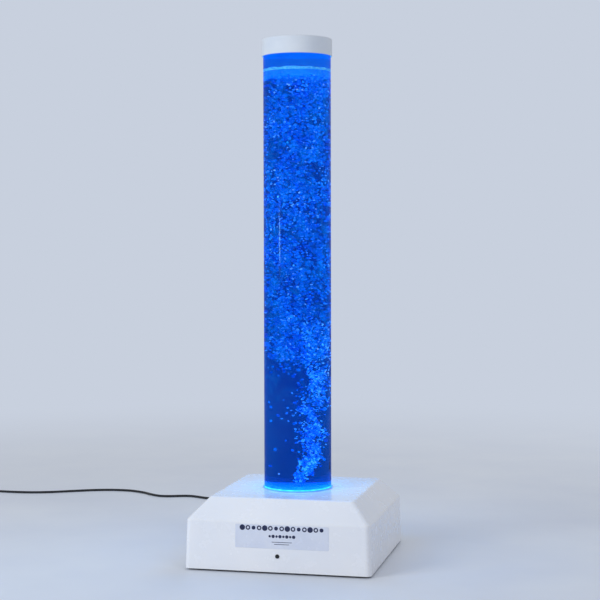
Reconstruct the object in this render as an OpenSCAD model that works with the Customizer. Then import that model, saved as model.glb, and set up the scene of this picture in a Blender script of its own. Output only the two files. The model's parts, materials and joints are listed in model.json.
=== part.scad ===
// Bubble tube floor lamp: a clear water tube on a chamfered base.
// Millimetres. +Z up, front towards -Y. The origin is the centre of the base on the floor.

/* [Cover] */
// Width and depth of the cover at its lower edge
cover_w = 406; // [396:1:420]
// Height of the cover's top above the floor
cover_top = 153; // [150:0.5:158]
// Gap between the floor and the cover's lower edge
cover_gap = 4; // [3:0.5:5]
// Wall thickness of the cover
cover_wall = 4; // [3:0.5:5]
// How far each side wall leans in between its lower edge and the chamfer
cover_draft = 3; // [2:0.5:4]
// Width of the chamfer round the top, in plan
chamfer_run = 42; // [36:1:46]
// Height of the chamfer
chamfer_rise = 45; // [38:1:48]
// Radius of the upright corners, in plan
corner_r = 12; // [10:1:16]
// Radius of the soft ridges above and below the chamfer
ridge_r = 8; // [6:1:9]

/* [Tube] */
// Outer diameter of the clear tube
tube_od = 150; // [148:0.5:152]
// Wall thickness of the clear tube
tube_wall = 5; // [4:0.5:6]
// Height of the tube's rim above the floor
tube_top = 1146; // [900:1:1300]
// Height of the water surface above the floor
water_top = 1080; // [800:1:1100]
// Thickness of the clear disc that closes the tube
floor_t = 12; // [10:1:12]
// Thickness of the flange ring cemented round the tube's foot
flange_t = 10; // [8:1:10]
// Outer diameter of the flange ring
flange_od = 200; // [190:1:206]

/* [Cap] */
// Outer diameter of the cap
cap_od = 156; // [155:0.5:158]
// Full height of the cap
cap_h = 38; // [30:1:45]
// Thickness of the cap's top
cap_t = 4; // [3:0.5:5]
// Radial gap between the cap's skirt and the tube
cap_play = 0.5; // [0.4:0.1:0.7]

/* [Bubbles] */
// Large bubbles in the water
bubbles_n = 120; // [40:10:140]
// Radius of the smallest of them
bubble_min_r = 2; // [1.5:0.1:2.5]
// Radius of the largest of them
bubble_max_r = 4.5; // [3:0.1:5]

/* [Frame] */
// Height of the rubber feet
foot_h = 6; // [5.5:0.5:6.5]
// Distance of each foot from the centre, along X and Y
foot_at = 158; // [140:1:162]
// Width and depth of the steel base plate
plate_w = 386; // [382:1:388]
// Thickness of the base plate and of the tube deck
plate_t = 3; // [2.5:0.5:3.5]
// Height of the pillars between the base plate and the deck
pillar_h = 114; // [113:0.5:115]
// Width and depth of the tube deck
deck_w = 236; // [230:1:240]
// Distance of each pillar from the centre, along X and Y
pillar_at = 105; // [104:1:106]

/* [Lights] */
// Lamps in the outer ring
led_outer = 20; // [12:1:22]
// Lamps in the inner ring
led_inner = 10; // [6:1:11]

/* [Controls] */
// Diameter of the push-button's bezel
bezel_d = 9; // [8:0.5:10]
// How far the push-button stands out of the front
button_out = 3.2; // [3:0.1:3.5]
// Travel of the push-button
button_travel = 1.5; // [1:0.1:1.5]
// Sideways place of the push-button on the front
button_x = 2; // [-20:1:20]
// Height of the push-button above the floor
button_z = 38; // [34:1:44]
// Width of the front label
label_w = 203; // [150:1:210]
// Height of the front label
label_h = 50; // [40:1:50]

/* [Power cord] */
// Diameter of the cord
cord_d = 6; // [5.5:0.5:6]
// Turns in the stored coil
coil_turns = 3.25; // [3.25:1:4.25]
// Mean diameter of the stored coil
coil_mean_d = 66; // [62:1:72]
// Gap between neighbouring turns
coil_gap = 0.7; // [0.6:0.1:1]

/* [Hidden] */
$fn = 96;
eps = 0.01;
hull_fn = 32;

// heights, from the floor up
plate_z = foot_h;
plate_top = plate_z + plate_t;
deck_z = plate_top + pillar_h;
deck_top = deck_z + plate_t;
flange_top = deck_top + flange_t;
floor_z = 145;
floor_top = floor_z + floor_t;
tube_r = tube_od / 2;
bore_r = tube_r - tube_wall;

// cover profile: centres of the ridge arcs, and where the flat faces would meet
half_low = cover_w / 2;
half_crease = half_low - cover_draft;
crease_z = cover_top - chamfer_rise;
chamfer_angle = atan2(chamfer_rise, chamfer_run);
crease_arc_z = crease_z - ridge_r * tan((90 - chamfer_angle) / 2);
top_arc_z = cover_top - ridge_r;
crease_arc_x = half_crease - corner_r;
top_arc_x = half_crease - chamfer_run - ridge_r * tan(chamfer_angle / 2) - (corner_r - ridge_r);
draft_angle = atan(cover_draft / (crease_z - cover_gap));
hole_r = tube_r + 1.8;

// seal ring: lip below the cover's top, step out above it, height above it
seal_lip = 3;
seal_out = 1.4;
seal_h = 2.6;

// cap: gap under its top, rounded rim, bevel at the foot of its skirt
cap_seat = 0.1;
cap_edge = 1.6;
cap_bevel = 0.6;

// cover fixing
boss_at = 178;
boss_r = 8;
boss_top = 60;
web_t = 4;
web_end = 279;
cover_screw_r = 1.5;
cover_screw_l = 20;
cover_head_r = 3.8;
cover_head_h = 2.2;

// rubber feet
foot_r = 14;
foot_recess_r = 6;
foot_recess_h = 3;
foot_screw_r = 2;
foot_head_r = 4;
foot_head_h = 2;
foot_nut_r = 4;

// steel fasteners
bolt_r = 3;
bolt_head_r = 5;
bolt_head_h = 3.5;
low_head_h = 3;
bolt_spare = 2;
nut_h = 3;
nut_r = 5.8;
flange_bolts_n = 6;
flange_bolt_pcr = (tube_r + flange_od / 2) / 2;
pillar_r = 8;
pillar_thread = 12;

// clear way through the middle of the deck, the lamp plate and the lamp board
deck_hole_r = 22;
led_hole_r = 16;
drain_at = 31;
drain_hole_r = 8;
led_plate_t = 2;
led_board_t = 1.6;
led_plate_r = 68;
led_board_r = 66;
led_outer_r = 56;
led_inner_r = 30;
led_w = 5;
led_h = 1.6;
lens_r = 1.8;
lens_h = 0.5;
board_z = deck_top + led_plate_t;
led_z = board_z + led_board_t;

// air nozzle in the middle of the tube floor
nozzle_stem_r = 5;
nozzle_head_r = 9;
nozzle_washer_r = 10;
nozzle_washer_h = 1.5;
nozzle_head_top = floor_top + 5;
nozzle_tip_r = 4;
nozzle_tip_top = floor_top + 9;
nozzle_air_r = 0.8;
nozzle_tail_r = 3.5;
nozzle_tail_z = 108;
hex_nut_h = 4;
hex_nut_r = 9.2;

// bubbles: each row gives a height above the nozzle's tip, how far the plume leans to one side
// at that height and how far it spreads round that place, until it fills the bore
plume = [
    [0, 2, 5], [25, 11, 12], [55, 23, 16], [130, 22, 20], [180, 26, 26], [235, 30, 30],
    [300, 20, 44], [360, 0, 61]
];
plume_side = 13;
plume_core = 0.3;
bubble_low_z = nozzle_tip_top + 2;
bubble_high_z = water_top - 14;
bubble_skin = 0.05;
// turn between one bubble and the next above it, and steps that scatter their places and sizes
bubble_turn = 137.5;
place_step = 0.7549;
size_step = 0.5698;

// non-return valve of the air line: two discs with a seam between them
valve_z = [70, 95];
valve_disc_r = 8;
valve_disc_h = 6;
valve_seam_r = 7;
valve_seam_h = 1;

// drain fitting
drain_head_r = 8;
drain_head_h = 1.5;
drain_stem_r = 5;
drain_elbow_z = 112;
drain_elbow_reach = 24;
drain_nut_r = 8;
hose_r = 4.5;
hose_sides = 12;
drain_route = [
    [drain_at, 55, drain_elbow_z], [drain_at, 63, drain_elbow_z], [33, 76, 109], [42, 90, 98],
    [56, 100, 78], [72, 107, 54], [86, 114, 37], [94, 124, 31], [95, 132, 30], [95, 140, 30]
];

// drain tap, behind the window in the rear wall
tap_x = 95;
tap_z = 30;
tap_in_y = 140;
tap_out_y = 172;
tap_r = 8;
tap_neck = 6;
plug_r = 6;
spout_r = 5;
spout_bore_r = 2.5;
spout_end_y = 196;
lever_y = 156;
lever_z = 44;
lever_l = 28;
lever_w = 8;
lever_t = 3;
lever_stem_r = 3;
lever_play = 0.05;
stem_low_z = tap_z + 4.3;
tap_bracket_w = 28;
tap_bracket_l = 14;
tap_bracket_h = 34;
tap_bracket_t = 2;
window = [70, 40];
window_z = 12;

// air pump
pump_at = [-125, 0];
pump_l = 110;
pump_w = 80;
pump_z = 15;
pump_split = 40;
pump_top = 65;
pump_wall = 2.5;
pump_mount_at = [42, 28];
pump_mount_r = 7;
vents_n = 7;
vent_w = 4;
vent_l = 40;
vent_pitch = 12;
pump_outlet_y = -2;
pump_outlet_r = 3.5;
pump_outlet_end = -58;
valve_block = [26, 36, 40];
valve_block_x = -112;
diaphragm_r = 15;
diaphragm_rim = 2;
diaphragm_hub_r = 7;
arm_x = -128;
arm_t = 4;
pivot_y = -28;
pivot_r = 2;
pivot_play = 0.05;
arm_end_y = 30;
arm_z = [30, 50];
arm_boss_r = 4;
magnet_t = 4;
magnet_y = [9, 27];
core_face_x = -138;
core_back_x = -172;
limb_w = 6;
limb_y = [2, 15, 28];
core_z = [32, 48];
winding_t = 6;
winding_x = [-164, -142];
air_route = [
    [pump_outlet_end, pump_outlet_y, pump_split], [-50, pump_outlet_y, pump_split],
    [-36, -2, 40], [-20, -1, 41], [-8, 0, 46], [-2, 0, 55], [0, 0, 63], [0, 0, valve_z[0]]
];

// cable outlet and its strain relief
outlet_x = -60;
outlet_z = 24;
slot_r = 9.5;
bracket_y = 192;
bracket_w = 36;
bracket_l = 12;
bracket_h = 30;
bracket_t = 1;
bracket_foot_t = 2;
relief_neck_r = 6;
relief_inner_r = 8;
relief_inner_l = 6;
relief_collar_r = 8.8;
relief_collar_end = half_low + 3;
relief_end_y = 231;
relief_tip_r = 4.2;

// control board
ctrl = [82, -72, 86, 68];
ctrl_z = 17;
ctrl_t = 1.6;
ctrl_top = ctrl_z + ctrl_t;
standoff_r = 3;
standoff_in = 5;
standoff_stud_r = 1.5;
standoff_head_r = 2.8;
standoff_head_h = 1.8;
socket_at = [14, 27, 40];
socket_w = 9;

// terminal block
term = [-75, 138, 30, 18, 14];
term_ways = 3;
term_pitch = 9;
term_way_r = 2.6;
term_floor = 6;

// leads inside the base
lead_z = 16;
lead_r = 2;
lead_sides = 8;
socket_x = ctrl[0] + 1;
socket_z = ctrl_top + socket_w / 2;
socket_y = [for (y = socket_at) ctrl[1] + y + socket_w / 2];
supply_route = [
    [term[0] + term[2], term[1] + 10, lead_z], [-34, 148, lead_z], [0, 132, 13], [28, 94, 12],
    [44, 44, 12], [52, 0, 15], [60, -20, 20], [72, socket_y[2], socket_z],
    [socket_x, socket_y[2], socket_z]
];
pump_route = [
    [pump_at[0] + pump_l / 2, 24, 24], [-60, 24, 24], [-40, 20, 18], [-10, 6, 13], [24, -16, 13],
    [54, -34, 19], [72, socket_y[1], socket_z], [socket_x, socket_y[1], socket_z]
];
lamp_route = [
    [19, 0, deck_top], [19, 0, 116], [22, -6, 96], [34, -24, 66], [50, -42, 40],
    [64, socket_y[0], 27], [74, socket_y[0], socket_z], [socket_x, socket_y[0], socket_z]
];
inner_route = [
    [outlet_x, bracket_y - relief_inner_l, outlet_z], [outlet_x, 180, outlet_z],
    [outlet_x, 172, 22], [outlet_x, 164, 18], [outlet_x, 160, lead_z],
    [outlet_x, term[1] + term[3], lead_z]
];

// push-button
button_r = 2.9;
button_edge = 0.6;
bezel_out = 1.4;
barrel_r = 3.9;
barrel_hole_r = 4.1;
barrel_in = 16;
button_nut_r = 7;
button_nut_t = 2.5;
switch_r = 5.5;
switch_in = 26;
button_well_r = 3.2;
button_skirt = 6;
spring_room = button_travel + 3.5;
spring_play = 0.05;
spring_wire_r = 0.3;
spring_r = 1.9;
spring_curls = 5;

// label, its lower edge above the floor
label_z = 54;
label_t = 0.4;
label_x = 11.5;
label_corner = 2;

// free stretch of the power cord: from the strain relief, along the floor and out to the coil
cord_r = cord_d / 2;
coil_lift = 1.2;
cord_route = [
    [-60, 231, 24], [-60, 240, 24], [-61, 256, 21], [-63, 274, 14], [-67, 296, 7],
    [-76, 324, 3], [-92, 360, 3], [-118, 408, 3], [-152, 460, 3], [-196, 514, 3],
    [-248, 562, 3], [-306, 602, 3], [-362, 628, 3], [-412, 644, 3], [-436, 656, 3],
    [-460, 664, 3], [-486, 659, 3], [-512, 649, 3], [-542, 648, 3], [-572, 665, 3],
    [-606, 692, 3], [-652, 712, 3], [-706, 712, 3], [-758, 696, 3], [-808, 670, 3],
    [-858, 643, 3], [-910, 626, 3], [-962, 622, 3], [-1014, 624, 3], [-1064, 624, 4.2],
    [-1080, 624, 4.2]
];
cord_sides = 10;
cord_steps = 2;

// stored coil: two layers, spiralling in and then out again
coil_pitch = cord_d + coil_gap;
coil_r0 = coil_mean_d / 2 + coil_pitch * coil_turns / 4;
coil_x = -1086;
coil_y = 624 - coil_r0;
coil_z = cord_r + coil_lift;
coil_rings = 24;
coil_sides = 6;
coil_lead_out = 32;
climb_half = 0.25;

// strap round the stored coil
tie_w = 10;
tie_t = 0.8;
tie_play = 0.4;
tie_side_play = 0.7;

// power adaptor, lying on its face at the coil's end
adaptor = [50, 72, 36];
adaptor_corner = 5;
adaptor_edge = 1.5;
adaptor_neck_l = 14;
adaptor_neck_r = 4.2;
pin = [6.4, 4, 17];
pins_apart = 22;
pins_back = 14;
earth_pin = [4, 8, 20];
earth_forward = 9;

// ---- swept tubes ----

function unit(v) = v / norm(v);

// point on a smooth curve through p at span i, share t
function curve_point(p, i, t) =
    let (n = len(p), a = p[max(i - 1, 0)], b = p[i], c = p[i + 1], d = p[min(i + 2, n - 1)])
    0.5 * (2 * b + (c - a) * t + (2 * a - 5 * b + 4 * c - d) * t * t
        + (3 * b - a - 3 * c + d) * t * t * t);

// the first and last spans stay straight, so that each end is square to what it meets
function smooth_route(p, steps) = [
    for (i = [0 : len(p) - 2], k = [0 : steps - 1])
        i == 0 || i == len(p) - 2 ? p[i] + (p[i + 1] - p[i]) * k / steps
        : curve_point(p, i, k / steps),
    p[len(p) - 1]
];

function heading(p, i) =
    i == 0 ? unit(p[1] - p[0])
    : i == len(p) - 1 ? unit(p[i] - p[i - 1])
    : unit(unit(p[i + 1] - p[i]) + unit(p[i] - p[i - 1]));

// side direction carried along the route without twist
function side_vectors(p) =
    let (h0 = heading(p, 0), s0 = unit(cross(h0, abs(h0[2]) > 0.9 ? [1, 0, 0] : [0, 0, 1])))
    [for (i = 0, s = s0; i < len(p);
        i = i + 1, s = i < len(p) ? unit(s - heading(p, i) * (s * heading(p, i))) : s) s];

function route_length(p) = len(p) < 2 ? 0 : [for (i = 0, l = 0; i < len(p);
    i = i + 1, l = i < len(p) ? l + norm(p[i] - p[i - 1]) : l) l][len(p) - 1];

module swept_tube(p, r, sides) {
    s = side_vectors(p);
    rings = len(p);
    points = [for (i = [0 : rings - 1], k = [0 : sides - 1])
        let (a = 360 * (k + 0.5) / sides)
        p[i] + r * (cos(a) * s[i] + sin(a) * cross(heading(p, i), s[i]))];
    walls = [for (i = [0 : rings - 2], k = [0 : sides - 1])
        let (a = i * sides + k, b = i * sides + (k + 1) % sides)
        each [[a, a + sides, b], [b, a + sides, b + sides]]];
    first_end = [for (k = [1 : sides - 2]) [0, k, k + 1]];
    last = (rings - 1) * sides;
    last_end = [for (k = [1 : sides - 2]) [last, last + k + 1, last + k]];
    polyhedron(points = points, faces = concat(walls, first_end, last_end), convexity = 10);
}

// ---- placing helpers ----

module at_corners(d) {
    for (x = [-d, d], y = [-d, d]) translate([x, y, 0]) children();
}

// local Z points out of the front wall, local Y up along it
module on_front(x, z) {
    y = -half_low + (z - cover_gap) * tan(draft_angle);
    translate([x, y, z]) rotate([90 - draft_angle, 0, 0]) children();
}

module hex_nut(r, h, bore) {
    difference() {
        cylinder(r = r, h = h, $fn = 6);
        translate([0, 0, -1]) cylinder(r = bore, h = h + 2);
    }
}

// ---- base ----

// one rounded corner of the cover: a disc with a round rim
module soft_disc(r_plan, r_edge) {
    rotate_extrude($fn = hull_fn) intersection() {
        translate([r_plan - r_edge, 0]) circle(r_edge, $fn = hull_fn);
        translate([0, -r_edge]) square([r_plan, 2 * r_edge]);
    }
}

module cover_form(inset, low_z) {
    rp = corner_r - inset;
    re = ridge_r - inset;
    low_at = half_low - corner_r + (cover_gap - low_z) * tan(draft_angle);
    hull() {
        at_corners(low_at) translate([0, 0, low_z]) cylinder(r = rp, h = eps, $fn = hull_fn);
        at_corners(crease_arc_x) translate([0, 0, crease_arc_z]) soft_disc(rp, re);
        at_corners(top_arc_x) translate([0, 0, top_arc_z]) soft_disc(rp, re);
    }
}

module cover_boss() {
    difference() {
        union() {
            translate([0, 0, plate_top]) cylinder(r = boss_r, h = boss_top - plate_top);
            rotate([0, 0, 45]) translate([0, -web_t / 2, plate_top])
                cube([web_end - boss_at * sqrt(2), web_t, boss_top - plate_top]);
        }
        translate([0, 0, plate_top - 1]) cylinder(r = cover_screw_r, h = cover_screw_l + 2);
    }
}

module base_cover() {
    color("white") {
        difference() {
            cover_form(0, cover_gap);
            cover_form(cover_wall, cover_gap - 1);
            translate([0, 0, cover_top - 3 * cover_wall]) cylinder(r = hole_r, h = 4 * cover_wall);
            // cable slot, open at the lower edge
            translate([outlet_x, half_low, outlet_z]) rotate([90, 0, 0])
                cylinder(r = slot_r, h = 4 * cover_wall, center = true);
            translate([outlet_x - slot_r, half_low - 2 * cover_wall, 0])
                cube([2 * slot_r, 4 * cover_wall, outlet_z]);
            // window of the drain tap
            translate([tap_x - window[0] / 2, half_low - 2 * cover_wall, window_z])
                cube([window[0], 4 * cover_wall, window[1]]);
            on_front(button_x, button_z)
                cylinder(r = barrel_hole_r, h = 6 * cover_wall, center = true);
        }
        for (a = [0 : 90 : 270]) rotate([0, 0, a]) translate([boss_at, boss_at, 0]) cover_boss();
    }
}

module pan_screw(r, length, head_r, head_h) {
    // head below z = 0, shank above it
    translate([0, 0, -head_h]) cylinder(r = head_r, h = head_h);
    cylinder(r = r, h = length);
}

module cover_screws() {
    color("silver") at_corners(boss_at) translate([0, 0, plate_z])
        pan_screw(cover_screw_r, cover_screw_l, cover_head_r, cover_head_h);
}

module base_plate() {
    color("dimgray") difference() {
        translate([-plate_w / 2, -plate_w / 2, plate_z]) cube([plate_w, plate_w, plate_t]);
        translate([0, 0, plate_z - 1]) {
            at_corners(foot_at) cylinder(r = foot_screw_r, h = plate_t + 2);
            at_corners(boss_at) cylinder(r = cover_screw_r, h = plate_t + 2);
            at_corners(pillar_at) cylinder(r = bolt_r, h = plate_t + 2);
        }
    }
}

module rubber_feet() {
    color("black") at_corners(foot_at) difference() {
        cylinder(r = foot_r, h = foot_h);
        translate([0, 0, -1]) cylinder(r = foot_recess_r, h = foot_recess_h + 1);
        translate([0, 0, 1]) cylinder(r = foot_screw_r, h = foot_h);
    }
}

module foot_screws() {
    color("silver") at_corners(foot_at) {
        translate([0, 0, foot_recess_h])
            pan_screw(foot_screw_r, plate_top + nut_h + 1 - foot_recess_h, foot_head_r, foot_head_h);
        translate([0, 0, plate_top]) hex_nut(foot_nut_r, nut_h, foot_screw_r);
    }
}

module support_pillars() {
    color("lightgray") at_corners(pillar_at) translate([0, 0, plate_top]) difference() {
        cylinder(r = pillar_r, h = pillar_h, $fn = 6);
        translate([0, 0, -1]) cylinder(r = bolt_r, h = pillar_thread + 1);
        translate([0, 0, pillar_h - pillar_thread]) cylinder(r = bolt_r, h = pillar_thread + 1);
    }
}

module pillar_bolts() {
    color("silver") at_corners(pillar_at) {
        translate([0, 0, plate_z])
            pan_screw(bolt_r, plate_t + pillar_thread - 1, bolt_head_r, low_head_h);
        translate([0, 0, deck_top]) mirror([0, 0, 1])
            pan_screw(bolt_r, plate_t + pillar_thread - 1, bolt_head_r, bolt_head_h);
    }
}

module tube_deck() {
    color("dimgray") translate([0, 0, deck_z]) difference() {
        translate([-deck_w / 2, -deck_w / 2, 0]) cube([deck_w, deck_w, plate_t]);
        translate([0, 0, -1]) {
            cylinder(r = deck_hole_r, h = plate_t + 2);
            at_corners(pillar_at) cylinder(r = bolt_r, h = plate_t + 2);
            translate([drain_at, drain_at, 0]) cylinder(r = drain_hole_r, h = plate_t + 2);
            flange_places() cylinder(r = bolt_r, h = plate_t + 2);
        }
    }
}

// ---- tube ----

module flange_places() {
    for (i = [0 : flange_bolts_n - 1]) rotate([0, 0, 30 + i * 360 / flange_bolts_n])
        translate([flange_bolt_pcr, 0, 0]) children();
}

module acrylic_tube() {
    color("lightcyan", 0.4) translate([0, 0, deck_top]) difference() {
        cylinder(r = tube_r, h = tube_top - deck_top, $fn = 128);
        translate([0, 0, -1]) cylinder(r = bore_r, h = tube_top - deck_top + 2, $fn = 128);
    }
}

module tube_flange() {
    color("lightcyan", 0.6) translate([0, 0, deck_top]) difference() {
        cylinder(d = flange_od, h = flange_t);
        translate([0, 0, -1]) {
            cylinder(r = tube_r, h = flange_t + 2, $fn = 128);
            flange_places() cylinder(r = bolt_r, h = flange_t + 2);
        }
    }
}

module flange_bolts() {
    color("silver") flange_places() {
        translate([0, 0, flange_top]) mirror([0, 0, 1])
            pan_screw(bolt_r, flange_t + plate_t + nut_h + bolt_spare, bolt_head_r, bolt_head_h);
        translate([0, 0, deck_z - nut_h]) hex_nut(nut_r, nut_h, bolt_r);
    }
}

module tube_floor() {
    color("deepskyblue", 0.7) translate([0, 0, floor_z]) difference() {
        cylinder(r = bore_r, h = floor_t, $fn = 128);
        translate([0, 0, -1]) cylinder(r = nozzle_stem_r, h = floor_t + 2);
        translate([drain_at, drain_at, -1]) cylinder(r = drain_stem_r, h = floor_t + 2);
    }
}

// rubber ring that fills the gap round the tube, with a lip above and below the cover's top
module tube_seal_ring() {
    under = cover_top - cover_wall;
    color("lightblue") rotate_extrude($fn = 128) polygon([
        [tube_r, under - seal_lip], [hole_r + seal_lip, under - seal_lip],
        [hole_r + seal_lip, under], [hole_r, under], [hole_r, cover_top],
        [hole_r + seal_out, cover_top], [hole_r + seal_out, cover_top + seal_h / 2],
        [hole_r + 0.2, cover_top + seal_h], [tube_r, cover_top + seal_h]
    ]);
}

function plume_level(column) = [for (row = plume) [row[0], row[column]]];

function fraction(s) = s - floor(s);

// one ball for each large bubble, from the nozzle up to the froth
module bubble_balls(grow) {
    for (i = [0 : bubbles_n - 1]) {
        z = bubble_low_z + (bubble_high_z - bubble_low_z) * (i + 0.5) / bubbles_n;
        rise = z - nozzle_tip_top;
        share = plume_core + (1 - plume_core) * fraction(i * place_step);
        r = bubble_min_r + (bubble_max_r - bubble_min_r) * pow(fraction(i * size_step), 2);
        rotate([0, 0, plume_side]) translate([lookup(rise, plume_level(1)), 0, z])
            rotate([0, 0, i * bubble_turn])
            translate([share * lookup(rise, plume_level(2)), 0, 0])
            sphere(r = r + grow, $fn = 24);
    }
}

module air_bubbles() {
    color("azure", 0.6) bubble_balls(0);
}

module water_column() {
    color("blue", 0.5) difference() {
        translate([0, 0, floor_top]) cylinder(r = bore_r, h = water_top - floor_top, $fn = 128);
        translate([0, 0, floor_top - 1]) {
            cylinder(r = nozzle_washer_r, h = 1 + nozzle_washer_h);
            cylinder(r = nozzle_head_r, h = 1 + nozzle_head_top - floor_top);
            cylinder(r = nozzle_tip_r, h = 1 + nozzle_tip_top - floor_top);
            translate([drain_at, drain_at, 0]) cylinder(r = drain_head_r, h = 1 + drain_head_h);
        }
        bubble_balls(bubble_skin);
    }
}

module top_cap() {
    r = cap_od / 2;
    r_in = tube_r + cap_play;
    low = tube_top + cap_t - cap_h;
    high = tube_top + cap_t;
    seat = tube_top + cap_seat;
    color("white") rotate_extrude($fn = 128) polygon([
        [0, seat], [r_in, seat], [r_in, low], [r - cap_bevel, low], [r, low + cap_bevel],
        [r, high - cap_edge], [r - 0.3 * cap_edge, high - 0.3 * cap_edge],
        [r - cap_edge, high], [0, high]
    ]);
}

// ---- lights ----

module lamp_way(h) {
    translate([0, 0, -1]) {
        cylinder(r = led_hole_r, h = h + 2);
        translate([drain_at, drain_at, 0]) cylinder(r = drain_hole_r, h = h + 2);
    }
}

module led_plate() {
    color("silver") translate([0, 0, deck_top]) difference() {
        cylinder(r = led_plate_r, h = led_plate_t);
        lamp_way(led_plate_t);
    }
}

module led_board() {
    color("white") translate([0, 0, board_z]) difference() {
        cylinder(r = led_board_r, h = led_board_t);
        lamp_way(led_board_t);
    }
}

module led_ring(n, r) {
    for (i = [0 : n - 1]) rotate([0, 0, (i + 0.5) * 360 / n]) translate([r, 0, led_z]) {
        translate([-led_w / 2, -led_w / 2, 0]) cube([led_w, led_w, led_h]);
        translate([0, 0, led_h]) cylinder(r = lens_r, h = lens_h, $fn = 24);
    }
}

module led_lamps() {
    color("dodgerblue") {
        led_ring(led_outer, led_outer_r);
        led_ring(led_inner, led_inner_r);
    }
}

// ---- air line ----

module air_nozzle() {
    color("gainsboro") difference() {
        union() {
            translate([0, 0, floor_top + nozzle_washer_h])
                cylinder(r = nozzle_head_r, h = nozzle_head_top - floor_top - nozzle_washer_h);
            translate([0, 0, nozzle_head_top])
                cylinder(r = nozzle_tip_r, h = nozzle_tip_top - nozzle_head_top);
            translate([0, 0, floor_z - hex_nut_h])
                cylinder(r = nozzle_stem_r, h = hex_nut_h + floor_t + nozzle_washer_h);
            translate([0, 0, nozzle_tail_z])
                cylinder(r = nozzle_tail_r, h = floor_z - hex_nut_h - nozzle_tail_z);
        }
        translate([0, 0, nozzle_tail_z + 2])
            cylinder(r = nozzle_air_r, h = nozzle_tip_top - nozzle_tail_z, $fn = 24);
    }
}

module nozzle_washer() {
    color("black") translate([0, 0, floor_top]) difference() {
        cylinder(r = nozzle_washer_r, h = nozzle_washer_h);
        translate([0, 0, -1]) cylinder(r = nozzle_stem_r, h = nozzle_washer_h + 2);
    }
}

module nozzle_nut() {
    color("gainsboro") translate([0, 0, floor_z - hex_nut_h])
        hex_nut(hex_nut_r, hex_nut_h, nozzle_stem_r);
}

module air_hose_upper() {
    color("white") translate([0, 0, valve_z[1]])
        cylinder(r = hose_r, h = nozzle_tail_z - valve_z[1], $fn = 32);
}

module check_valve() {
    seam_z = (valve_z[0] + valve_z[1] - valve_seam_h) / 2;
    color("gainsboro") {
        translate([0, 0, valve_z[0]]) cylinder(r = nozzle_tail_r, h = valve_z[1] - valve_z[0]);
        translate([0, 0, seam_z]) cylinder(r = valve_seam_r, h = valve_seam_h);
        for (z = [seam_z - valve_disc_h, seam_z + valve_seam_h])
            translate([0, 0, z]) cylinder(r = valve_disc_r, h = valve_disc_h);
    }
}

module air_hose_lower() {
    color("white") swept_tube(smooth_route(air_route, 3), hose_r, hose_sides);
}

// ---- air pump ----

module pump_box(z0, z1, grow) {
    translate([pump_at[0] - pump_l / 2 - grow, pump_at[1] - pump_w / 2 - grow, z0])
        cube([pump_l + 2 * grow, pump_w + 2 * grow, z1 - z0]);
}

module pump_outlet_way() {
    translate([pump_at[0] + pump_l / 2 - 2 * pump_wall, pump_outlet_y, pump_split])
        rotate([0, 90, 0]) cylinder(r = pump_outlet_r, h = 4 * pump_wall);
}

module pump_tray() {
    color("darkslategray") difference() {
        pump_box(pump_z, pump_split, 0);
        pump_box(pump_z + pump_wall, pump_split + 1, -pump_wall);
        pump_outlet_way();
    }
}

module pump_cover() {
    color("slategray") difference() {
        pump_box(pump_split, pump_top, 0);
        pump_box(pump_split - 1, pump_top - pump_wall, -pump_wall);
        pump_outlet_way();
        for (i = [0 : vents_n - 1])
            translate([pump_at[0] + (i - (vents_n - 1) / 2) * vent_pitch - vent_w / 2,
                pump_at[1] - vent_l / 2, pump_top - 2 * pump_wall])
                cube([vent_w, vent_l, 3 * pump_wall]);
    }
}

module pump_mounts() {
    color("black") for (x = [-1, 1], y = [-1, 1])
        translate([pump_at[0] + x * pump_mount_at[0], pump_at[1] + y * pump_mount_at[1], plate_top])
            cylinder(r = pump_mount_r, h = pump_z - plate_top);
}

module pump_core() {
    color("gray") {
        translate([core_back_x, limb_y[0], core_z[0]])
            cube([limb_w, limb_y[2] + limb_w - limb_y[0], core_z[1] - core_z[0]]);
        for (y = limb_y) translate([core_back_x + limb_w - eps, y, core_z[0]])
            cube([core_face_x - core_back_x - limb_w + eps, limb_w, core_z[1] - core_z[0]]);
        // foot that carries the core in the tray
        translate([core_back_x, limb_y[0], pump_z + pump_wall])
            cube([limb_w, limb_y[2] + limb_w - limb_y[0], core_z[0] - pump_z - pump_wall + eps]);
    }
}

module pump_coil() {
    length = winding_x[1] - winding_x[0];
    height = core_z[1] - core_z[0];
    color("chocolate") difference() {
        translate([winding_x[0], limb_y[1] - winding_t, core_z[0] - winding_t])
            cube([length, limb_w + 2 * winding_t, height + 2 * winding_t]);
        translate([winding_x[0] - 1, limb_y[1], core_z[0]]) cube([length + 2, limb_w, height]);
    }
}

module pump_pivot_pin() {
    color("silver") translate([arm_x, pivot_y, pump_z + pump_wall])
        cylinder(r = pivot_r, h = pump_top - pump_z - 2 * pump_wall);
}

module pump_arm() {
    color("silver") difference() {
        union() {
            translate([arm_x - arm_t / 2, pivot_y, arm_z[0]])
                cube([arm_t, arm_end_y - pivot_y, arm_z[1] - arm_z[0]]);
            translate([arm_x, pivot_y, arm_z[0]]) cylinder(r = arm_boss_r, h = arm_z[1] - arm_z[0]);
        }
        translate([arm_x, pivot_y, arm_z[0] - 1])
            cylinder(r = pivot_r + pivot_play, h = arm_z[1] - arm_z[0] + 2);
    }
}

module pump_magnet() {
    color("dimgray") translate([arm_x - arm_t / 2 - magnet_t, magnet_y[0], core_z[0]])
        cube([magnet_t, magnet_y[1] - magnet_y[0], core_z[1] - core_z[0]]);
}

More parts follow.
